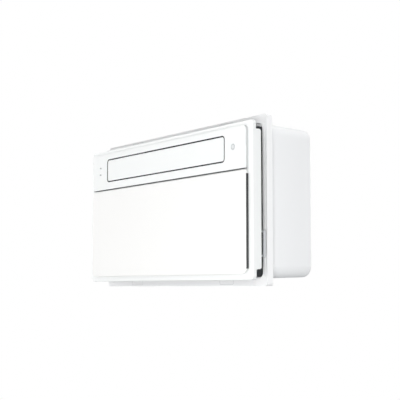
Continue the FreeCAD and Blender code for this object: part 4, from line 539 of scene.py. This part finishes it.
def addRod(bm, start, end, radius, sides=20, endRadius=None):
    start, end = Vector(start), Vector(end)
    along = end - start
    place = Matrix.Translation((start + end) / 2) @ along.to_track_quat("Z", "Y").to_matrix().to_4x4()
    return bmesh.ops.create_cone(
        bm, cap_ends=True, segments=sides, radius1=radius, radius2=radius if endRadius is None else endRadius,
        depth=along.length, matrix=place,
    )["verts"]


def joinRows(bm, rows):
    # Faces between each row of points and the next, and from the last row back to the first.
    for here, following in zip(rows, rows[1:] + rows[:1]):
        for k in range(len(here)):
            other = (k + 1) % len(here)
            bm.faces.new((here[k], following[k], following[other], here[other]))


def circleRow(bm, x, z, radius, y, sides):
    angles = [math.tau * k / sides for k in range(sides)]
    return [bm.verts.new((x + radius * math.cos(angle), y, z + radius * math.sin(angle))) for angle in angles]


def addRing(bm, centre, axis, radius, wire, around=72, across=8):
    # A closed wire of round section.
    axis = Vector(axis).normalized()
    turn = axis.to_track_quat("Z", "Y").to_matrix()
    rows = []
    for step in range(around):
        angle = math.tau * step / around
        outward = Vector((math.cos(angle), math.sin(angle), 0))
        row = []
        for side in range(across):
            tilt = math.tau * side / across
            local = outward * (radius + wire * math.cos(tilt)) + Vector((0, 0, wire * math.sin(tilt)))
            row.append(bm.verts.new(Vector(centre) + turn @ local))
        rows.append(row)
    joinRows(bm, rows)


softWidths = {
    "mounting_flange": 0.0005, "front_bezel": 0.0005, "upper_panel": 0.0003, "intake_panel": 0.0003,
    "outlet_flap": 0.0003, "screw_covers": 0.0003, "air_filter_frame": 0.0004, "fan_shroud": 0.0003,
    "control_box": 0.0003, "motor_bracket": 0.0003, "base_pan": 0.0003,
}
for node, width in softWidths.items():
    piece = softened(node, width)
    # The flange and its screw covers take the brighter white, as painted light on the shaded rim.
    if node in ("mounting_flange", "screw_covers"):
        piece.data.materials[0] = finishes["flangeWhitePaintedLight"]
print("shells have soft edges")


def receiverMark():
    # A plain ring round the receiver's face.
    values = {"ring": 0.0052, "wire": 0.0016, "proud": 0.0001}
    low, high = extent("receiver_window")
    centre = ((low.x + high.x) / 2, low.y + values["wire"] / 2 - values["proud"], (low.z + high.z) / 2)
    bm = bmesh.new()
    addRing(bm, centre, (0, 1, 0), values["ring"], values["wire"] / 2, 64, 10)
    finishPiece("receiverRing", bm, "receiver_window", finishes["printGrey"])


def lampDots():
    # A small dark sensor sits beside each lamp.
    values = {"radius": 0.0021, "gap": 0.0062, "depth": 0.0012, "proud": 0.0001, "inset": 0.0024}
    face = extent("upper_panel")[0].y
    low, high = extent("indicator_lenses")
    x = (low.x + high.x) / 2 + values["gap"]
    bm = bmesh.new()
    for z in (low.z + values["inset"], high.z - values["inset"]):
        addRod(bm, (x, face - values["proud"], z), (x, face + values["depth"], z), values["radius"], 32)
    finishPiece("lampDots", bm, "indicator_lenses", finishes["lampDark"])


def roundedLoop(left, bottom, right, top, radius, steps=8, lowRadius=None):
    low = radius if lowRadius is None else lowRadius
    corners = [(right - radius, top - radius, 0, radius), (left + radius, top - radius, 1, radius),
               (left + low, bottom + low, 2, low), (right - low, bottom + low, 3, low)]
    loop = []
    for x, z, quarter, radius in corners:
        for step in range(steps + 1):
            angle = math.pi / 2 * (quarter + step / steps)
            loop.append((x + radius * math.cos(angle), z + radius * math.sin(angle)))
    return loop


def addBand(bm, outer, inner, front, back):
    # A closed band between two loops of the same count.
    rows = [
        [bm.verts.new((x, y, z)) for x, z in loop]
        for loop, y in ((outer, front), (inner, front), (inner, back), (outer, back))
    ]
    joinRows(bm, rows)


def seals():
    # Dark foam seals keep the gaps round the flap and between the two panels draught-free.
    values = {
        "corner": 0.006, "gap": 0.0022, "seal": 0.0009, "sunk": 0.0003, "set": 0.0002, "lip": 0.0006,
        "lipProud": 0.00008, "depth": 0.0017, "rim": 0.0008, "openingDepths": 2.6,
        "stripEnd": 0.003, "stripFront": 0.001, "stripBack": 0.0003,
    }
    low = extent("outlet_flap")[0]
    panelLow, panelHigh = extent("upper_panel")
    # The flap's pins reach past its ends, so its width comes from its front face.
    face = [v.co for v in nodes["outlet_flap"].data.vertices if v.co.y < low.y + 0.00001]
    rim = values["rim"]
    left, right = min(c.x for c in face) - rim, max(c.x for c in face) + rim
    bottom, top = min(c.z for c in face) - rim, max(c.z for c in face) + rim
    front = low.y + values["set"]

    def loop(grow):
        return roundedLoop(left - grow, bottom - grow, right + grow, top + grow, values["corner"] + grow)

    bm = bmesh.new()
    addBand(bm, loop(values["seal"]), loop(-values["sunk"]), front, front + values["depth"])
    finishPiece("flapSeal", bm, "outlet_flap", finishes["sealBlack"])
    bm = bmesh.new()
    gap = values["gap"]
    addBand(
        bm, loop(gap + values["lip"]), loop(gap - values["seal"]), low.y - values["lipProud"],
        front + values["depth"] * values["openingDepths"],
    )
    finishPiece("openingSeal", bm, "upper_panel", finishes["sealBlack"])
    bm = bmesh.new()
    end = values["stripEnd"]
    addBox(
        bm, (panelLow.x + end, panelLow.y + values["stripFront"], panelLow.z - values["seal"]),
        (panelHigh.x - end, panelHigh.y - values["stripBack"], panelLow.z + values["sunk"]),
    )
    finishPiece("panelSeal", bm, "upper_panel", finishes["sealAndShadeGrey"])


def panelShadeBand():
    # A grey band round the side wall of the upper panel: painted shade on that wall.
    values = {
        "corner": 0.011, "lowCorner": 0.001, "thick": 0.00012, "sunk": 0.0003, "behindFace": 0.0012,
        "foot": 0.0001, "toBezel": 0.0073,
    }
    low, high = extent("upper_panel")
    bezelFace = low.y + values["toBezel"]

    def loop(grow):
        return roundedLoop(
            low.x - grow, low.z - grow, high.x + grow, high.z + grow, values["corner"] + grow,
            lowRadius=values["lowCorner"] + grow,
        )

    bm = bmesh.new()
    front, back = low.y + values["behindFace"], bezelFace - values["foot"]
    addBand(bm, loop(values["thick"]), loop(-values["sunk"]), front, back)
    finishPiece("panelShadeBand", bm, "upper_panel", finishes["seamAndShadeGrey"])


def intakeShadeStrips():
    # A dark strip down each side wall of the intake panel: painted shade for the shaded slot beside it.
    values = {
        "thick": 0.00012, "sunk": 0.0003, "behindFace": 0.001, "foot": 0.0001, "fromTop": 0.005,
        "fromBottom": 0.011, "panelTop": 0.0562, "toBezel": 0.0073,
    }
    low, high = extent("intake_panel")
    bezelFace = extent("upper_panel")[0].y + values["toBezel"]
    bm = bmesh.new()
    for wall, outward in ((low.x, -1), (high.x, 1)):
        near, far = sorted((wall - outward * values["sunk"], wall + outward * values["thick"]))
        addBox(
            bm, (near, low.y + values["behindFace"], low.z + values["fromBottom"]),
            (far, bezelFace - values["foot"], values["panelTop"] - values["fromTop"]),
        )
    finishPiece("intakeShadeStrips", bm, "intake_panel", finishes["sealAndShadeGrey"])


def coverSeams():
    # A fine grey seam round each screw cover.
    values = {"wide": 0.0003, "proud": 0.00008, "depth": 0.0003, "corner": 0.0035, "spare": 0.0001}
    corners = [vertex.co for vertex in nodes["screw_covers"].data.vertices]
    bm = bmesh.new()
    for sideX in (-1, 1):
        for sideZ in (-1, 1):
            own = [corner for corner in corners if corner.x * sideX > 0 and corner.z * sideZ > 0]
            left, right = min(c.x for c in own), max(c.x for c in own)
            bottom, top = min(c.z for c in own), max(c.z for c in own)
            face = min(c.y for c in own)
            radius = min(values["corner"], (top - bottom) / 2 - values["spare"])
            outer, inner = (
                roundedLoop(left - grow, bottom - grow, right + grow, top + grow, radius + grow)
                for grow in (values["wide"], -values["wide"])
            )
            addBand(bm, outer, inner, face - values["proud"], face + values["depth"])
    finishPiece("coverSeams", bm, "screw_covers", finishes["seamAndShadeGrey"])


receiverMark()
lampDots()
seals()
panelShadeBand()
intakeShadeStrips()
coverSeams()
print("front details are in")


def filterNet():
    # A net of fine crossed strands in each of the frame's windows.
    values = {"pitch": 0.0024, "strand": 0.0004}
    bm = bmesh.new()
    mesh = nodes["filter_mesh"].data
    corners = [vertex.co.copy() for vertex in mesh.vertices]
    xs = sorted({round(c.x, 5) for c in corners})
    zs = sorted({round(c.z, 5) for c in corners})
    y0, y1 = min(c.y for c in corners), max(c.y for c in corners)
    middle, half = (y0 + y1) / 2, values["strand"] / 2
    for left, right in zip(xs[::2], xs[1::2]):
        for bottom, top in zip(zs[::2], zs[1::2]):
            count = int((right - left) / values["pitch"])
            for n in range(1, count):
                x = left + (right - left) * n / count
                addBox(bm, (x - half, middle - half, bottom), (x + half, middle + half, top))
            count = int((top - bottom) / values["pitch"])
            for n in range(1, count):
                z = bottom + (top - bottom) * n / count
                addBox(bm, (left, middle, z - half), (right, middle + 2 * half, z + half))
    finishPiece("filterNet", bm, "filter_mesh", replaced=("filter_mesh",))


def finStack(node, values):
    # Thin sheets side by side, pressed onto the tubes.
    sheet, plate = values["sheet"], values["endPlate"]
    low, high = extent(node)
    bm = bmesh.new()
    count = int((high.x - low.x) / values["pitch"])
    for n in range(count + 1):
        x = low.x + (high.x - low.x - sheet) * n / count
        addBox(bm, (x, low.y, low.z), (x + sheet, high.y, high.z))
    # The end plates are thicker than the fins.
    for x in (low.x, high.x - plate):
        addBox(bm, (x, low.y, low.z), (x + plate, high.y, high.z))
    finishPiece(node + "_sheets", bm, node, replaced=(node,))


filterNet()
finStack("evaporator_fins", {"pitch": 0.0022, "sheet": 0.00025, "endPlate": 0.0012})
finStack("condenser_fins", {"pitch": 0.0018, "sheet": 0.00025, "endPlate": 0.0012})
print("filter net and fins are in")


def condenserLouvres():
    # Tilted blades in a plain border, with two upright bars.
    values = {
        "border": 0.004, "pitch": 0.0085, "blade": 0.0011, "tilt": 38, "mullion": 0.003,
        "clear": 0.0008, "reach": 0.86, "barInset": 0.0006,
    }
    low, high = extent("condenser_grille")
    bm = bmesh.new()
    border = values["border"]
    addBox(bm, low, (low.x + border, high.y, high.z))
    addBox(bm, (high.x - border, low.y, low.z), high)
    addBox(bm, (low.x + border, low.y, low.z), (high.x - border, high.y, low.z + border))
    addBox(bm, (low.x + border, low.y, high.z - border), (high.x - border, high.y, high.z))
    depth = high.y - low.y - values["clear"]
    count = int((high.z - low.z - 2 * border) / values["pitch"])
    turn = Matrix.Rotation(math.radians(-values["tilt"]), 4, "X")
    reach = depth / math.cos(math.radians(values["tilt"])) / 2 * values["reach"]
    middle = (low.y + high.y) / 2
    for n in range(count):
        z = low.z + border + (high.z - low.z - 2 * border) * (n + 0.5) / count
        addBox(
            bm, (low.x + border / 2, middle - reach, z - values["blade"] / 2),
            (high.x - border / 2, middle + reach, z + values["blade"] / 2), turn,
        )
    for third in (1, 2):
        x = low.x + (high.x - low.x) * third / 3
        half = values["mullion"] / 2
        back = high.y - values["barInset"]
        addBox(bm, (x - half, low.y, low.z + border / 2), (x + half, back, high.z - border / 2))
    finishPiece("condenserLouvres", bm, "condenser_grille", replaced=("condenser_grille",))


def guardWires():
    # Rings of wire on round spokes, with a hub disc in the middle.
    values = {
        "wire": 0.0012, "rings": 15, "hub": 0.016, "spokes": 8, "wiresIn": 1.6, "hubGap": 0.002,
        "band": 0.0012, "hubInset": 0.0004, "spokeSink": 0.001, "spokeShare": 0.6,
    }
    low, high = extent("fan_guard")
    centre = (low + high) / 2
    outer = (high.x - low.x) / 2
    bm = bmesh.new()
    wire = values["wire"]
    hub, band, inset, sink = values["hub"], values["band"], values["hubInset"], values["spokeSink"]
    y = high.y - wire * values["wiresIn"]
    for n in range(values["rings"]):
        radius = outer - wire * 2 - (outer - wire * 2 - hub - values["hubGap"]) * n / (values["rings"] - 1)
        addRing(bm, (centre.x, y, centre.z), (0, 1, 0), radius, wire / 2, 96, 6)
    # A flat outer band seats in the case, and round spokes lie behind the rings.
    addRing(bm, (centre.x, centre.y, centre.z), (0, 1, 0), outer - band, band, 128, 8)
    addRod(bm, (centre.x, low.y + inset, centre.z), (centre.x, high.y - inset, centre.z), hub, 48)
    for n in range(values["spokes"]):
        angle = math.tau * n / values["spokes"]
        way = Vector((math.cos(angle), 0, math.sin(angle)))
        start = Vector((centre.x, y - wire, centre.z)) + way * (hub - sink)
        addRod(bm, start, start + way * (outer - hub - sink), wire * values["spokeShare"], 8)
    finishPiece("guardWires", bm, "fan_guard", replaced=("fan_guard",))


def fanBlades():
    # Six twisted blades that thin towards the tip, on a rounded hub.
    values = {
        "blades": 6, "hubPitch": 34, "tipPitch": 20, "sweep": 14, "wall": 0.0013, "across": 10, "outward": 12,
        "x": 0.066, "tipGap": 0.0006, "hub": 0.030, "root": 0.002, "rim": 0.001, "chord": 0.030,
        "chordGrowth": 0.040, "camber": 0.0022, "thinning": 0.45, "crest": 1.02, "edge": 3.2,
        "round": 0.004, "chamfer": 0.0012, "bore": 0.0042, "boss": 0.008, "bossSet": 0.006,
        "floor": 0.003, "cupWall": 0.0025, "sides": 64,
    }
    low, high = extent("axial_fan")
    centre = Vector((values["x"], 0, (low.z + high.z) / 2))
    tip = (high.z - low.z) / 2 - values["tipGap"]
    hub, root = values["hub"], values["root"]
    middle, half = (low.y + high.y) / 2, (high.y - low.y) / 2 - values["rim"]
    bm = bmesh.new()
    for n in range(values["blades"]):
        sheets = []
        for side in (-1, 1):
            grid = []
            for i in range(values["outward"] + 1):
                along = i / values["outward"]
                radius = hub - root + (tip - hub + root) * along
                pitch = math.radians(values["hubPitch"] + (values["tipPitch"] - values["hubPitch"]) * along)
                chord = values["chord"] + values["chordGrowth"] * along
                row = []
                for j in range(values["across"] + 1):
                    cross = j / values["across"] - 0.5
                    arc = math.cos(pitch) * chord * cross / radius
                    angle = math.tau * n / values["blades"] + arc + math.radians(values["sweep"]) * along ** 2
                    camber = values["camber"] * (1 - 4 * cross * cross)
                    thick = values["crest"] - values["edge"] * cross * cross
                    wall = values["wall"] * (1 - values["thinning"] * along) * thick
                    rise = max(-half, min(half, -math.sin(pitch) * chord * cross - camber))
                    x, z = centre.x + radius * math.cos(angle), centre.z + radius * math.sin(angle)
                    row.append(bm.verts.new((x, middle + rise + side * wall / 2, z)))
                grid.append(row)
            sheets.append(grid)
        for grid in sheets:
            for i in range(values["outward"]):
                for j in range(values["across"]):
                    bm.faces.new((grid[i][j], grid[i + 1][j], grid[i + 1][j + 1], grid[i][j + 1]))
        one, two = sheets
        rim = [(i, 0) for i in range(values["outward"] + 1)]
        rim += [(values["outward"], j) for j in range(1, values["across"] + 1)]
        rim += [(i, values["across"]) for i in range(values["outward"] - 1, -1, -1)]
        rim += [(0, j) for j in range(values["across"] - 1, 0, -1)]
        for (i, j), (k, m) in zip(rim, rim[1:] + rim[:1]):
            bm.faces.new((one[i][j], one[k][m], two[k][m], two[i][j]))
    # The hub is a cup: a rounded wall with a boss round the shaft.
    curve, chamfer, bore, boss = values["round"], values["chamfer"], values["bore"], values["boss"]
    bossStart, floor, inside = low.y + values["bossSet"], high.y - values["floor"], hub - values["cupWall"]
    profile = [
        (hub, low.y + curve), (hub, high.y - curve), (hub - chamfer, high.y - chamfer), (hub - curve, high.y),
        (bore, high.y), (bore, bossStart), (boss, bossStart), (boss, floor), (inside, floor),
        (inside, low.y + curve),
    ]
    joinRows(bm, [circleRow(bm, centre.x, centre.z, radius, y, values["sides"]) for radius, y in profile])
    finishPiece("fanBlades", bm, "axial_fan", replaced=("axial_fan",), smoothAngle=50)


condenserLouvres()
guardWires()
fanBlades()
print("outdoor side is in")


def crossScrews():
    # Pan heads with a cross recess, one on each of the bezel's bosses.
    values = {
        "head": 0.003, "headDepth": 0.0018, "dome": 0.0006, "edge": (0.93, 0.0002), "face": 0.8, "sides": 36,
        "arm": 0.0017, "width": 0.00045, "depth": 0.0010, "taper": 0.7, "shank": 0.00145,
        "threadStart": 0.004, "threadPitch": 0.0012, "threadRadius": 0.00125, "thread": 0.0002, "turns": 8,
        "flat": 0.0001, "apart": 0.02, "reach": 0.01,
    }
    mesh = nodes["bezel_screws"].data
    front = min(v.co.y for v in mesh.vertices)
    back = max(v.co.y for v in mesh.vertices)
    heads = [v.co for v in mesh.vertices if v.co.y < front + values["flat"]]
    reach, centres = values["reach"], []
    for co in heads:
        if all((Vector((co.x, co.z)) - Vector(c)).length > values["apart"] for c in centres):
            near = [o for o in heads if abs(o.x - co.x) < reach and abs(o.z - co.z) < reach]
            across, along = [o.x for o in near], [o.z for o in near]
            centres.append(((min(across) + max(across)) / 2, (min(along) + max(along)) / 2))
    bm = bmesh.new()
    arm, width = values["arm"], values["width"]
    cross = [(width, width), (arm, width), (arm, -width), (width, -width), (width, -arm), (-width, -arm),
             (-width, -width), (-arm, -width), (-arm, width), (-width, width), (-width, arm), (width, arm)]
    head, sides, taper = values["head"], values["sides"], values["taper"]
    narrow, drop = values["edge"]
    steps = [
        (head, values["headDepth"]), (head, values["dome"]),
        (head * narrow, drop), (head * values["face"], 0),
    ]
    for x, z in centres:
        rows = [circleRow(bm, x, z, radius, front + behind, sides) for radius, behind in steps]
        for here, following in zip(rows, rows[1:]):
            for k in range(sides):
                other = (k + 1) % sides
                bm.faces.new((here[k], here[other], following[other], following[k]))
        bm.faces.new(rows[0])
        mouth = [bm.verts.new((x + u, front, z + v)) for u, v in cross]
        floor = [bm.verts.new((x + u * taper, front + values["depth"], z + v * taper)) for u, v in cross]
        loops = []
        for loop in (rows[-1], mouth):
            for k in range(len(loop)):
                pair = (loop[k], loop[(k + 1) % len(loop)])
                loops.append(bm.edges.get(pair) or bm.edges.new(pair))
        bmesh.ops.triangle_fill(bm, use_beauty=True, edges=loops)
        for k in range(len(cross)):
            other = (k + 1) % len(cross)
            bm.faces.new((mouth[k], mouth[other], floor[other], floor[k]))
        bm.faces.new(floor)
        addRod(bm, (x, front + values["headDepth"], z), (x, back, z), values["shank"], 20)
        for turn in range(values["turns"]):
            y = front + values["threadStart"] + turn * values["threadPitch"]
            addRing(bm, (x, y, z), (0, 1, 0), values["threadRadius"], values["thread"], 20, 5)
    finishPiece("crossScrews", bm, "bezel_screws", replaced=("bezel_screws",))


def panelRibs():
    # A grid of low ribs stiffens the intake panel's back.
    values = {
        "rib": 0.0012, "height": 0.0013, "edge": 0.012, "columns": 7, "rows": 3, "top": 0.014,
        "skin": 0.0028, "sunk": 0.0002,
    }
    low, high = extent("intake_panel")
    skinBack = low.y + values["skin"]
    left, right = low.x + values["edge"], high.x - values["edge"]
    bottom, top = low.z + values["edge"], high.z - values["top"]
    y0, y1 = skinBack - values["sunk"], skinBack + values["height"]
    half = values["rib"] / 2
    bm = bmesh.new()
    for n in range(values["columns"] + 1):
        x = left + (right - left) * n / values["columns"]
        addBox(bm, (x - half, y0, bottom), (x + half, y1, top))
    for n in range(values["rows"] + 1):
        z = bottom + (top - bottom) * n / values["rows"]
        addBox(bm, (left, y0, z - half), (right, y1, z + half))
    finishPiece("panelRibs", bm, "intake_panel")


def compressorDetails():
    # Weld seams round the shell, and the terminal cover on its side.
    values = {
        "radius": 0.033, "seam": 0.0009, "seams": (0.30, 0.72), "cover": (0.011, 0.007, 0.015),
        "coverRise": 0.55, "coverOut": 0.4, "round": 0.0016,
    }
    low, high = extent("compressor")
    centre = (low + high) / 2
    bm = bmesh.new()
    for rise in values["seams"]:
        z = low.z + (high.z - low.z) * rise
        addRing(bm, (centre.x, centre.y, z), (0, 0, 1), values["radius"], values["seam"], 96, 8)
    width, depth, tall = values["cover"]
    z = low.z + (high.z - low.z) * values["coverRise"]
    side = Vector((centre.x - values["radius"], centre.y, z))
    outer = Vector((depth * values["coverOut"], width, tall))
    verts = addBox(bm, side - Vector((depth, width, tall)), side + outer)
    edges = list({edge for vert in verts for edge in vert.link_edges})
    bmesh.ops.bevel(bm, geom=edges, offset=values["round"], affect="EDGES", segments=3, profile=0.5)
    finishPiece("compressorDetails", bm, "compressor")


def motorDetails():
    # Cooling ribs round both motors.
    values = {"rib": 0.0006, "ribs": 24, "blowerLeft": 0.006, "blowerRight": 0.010, "fanEnds": 0.004}
    low, high = extent("blower_motor")
    y, z = (low.y + high.y) / 2, (low.z + high.z) / 2
    radius = (high.z - low.z) / 2
    bm = bmesh.new()
    for n in range(values["ribs"]):
        angle = math.tau * n / values["ribs"]
        out = Vector((0, math.cos(angle), math.sin(angle))) * (radius - values["rib"])
        start = Vector((low.x + values["blowerLeft"], y, z)) + out
        addRod(bm, start, Vector((high.x - values["blowerRight"], y, z)) + out, values["rib"], 8)
    finishPiece("blowerRibs", bm, "blower_motor")
    low, high = extent("outdoor_fan_motor")
    x, z = (low.x + high.x) / 2, (low.z + high.z) / 2
    radius = (high.z - low.z) / 2
    bm = bmesh.new()
    for n in range(values["ribs"]):
        angle = math.tau * n / values["ribs"]
        out = Vector((math.cos(angle), 0, math.sin(angle))) * (radius - values["rib"])
        start = Vector((x, low.y + values["fanEnds"], z)) + out
        addRod(bm, start, Vector((x, high.y - values["fanEnds"], z)) + out, values["rib"], 8)
    finishPiece("fanMotorRibs", bm, "outdoor_fan_motor")


crossScrews()
panelRibs()
compressorDetails()
motorDetails()
print("fixings and inner details are in")
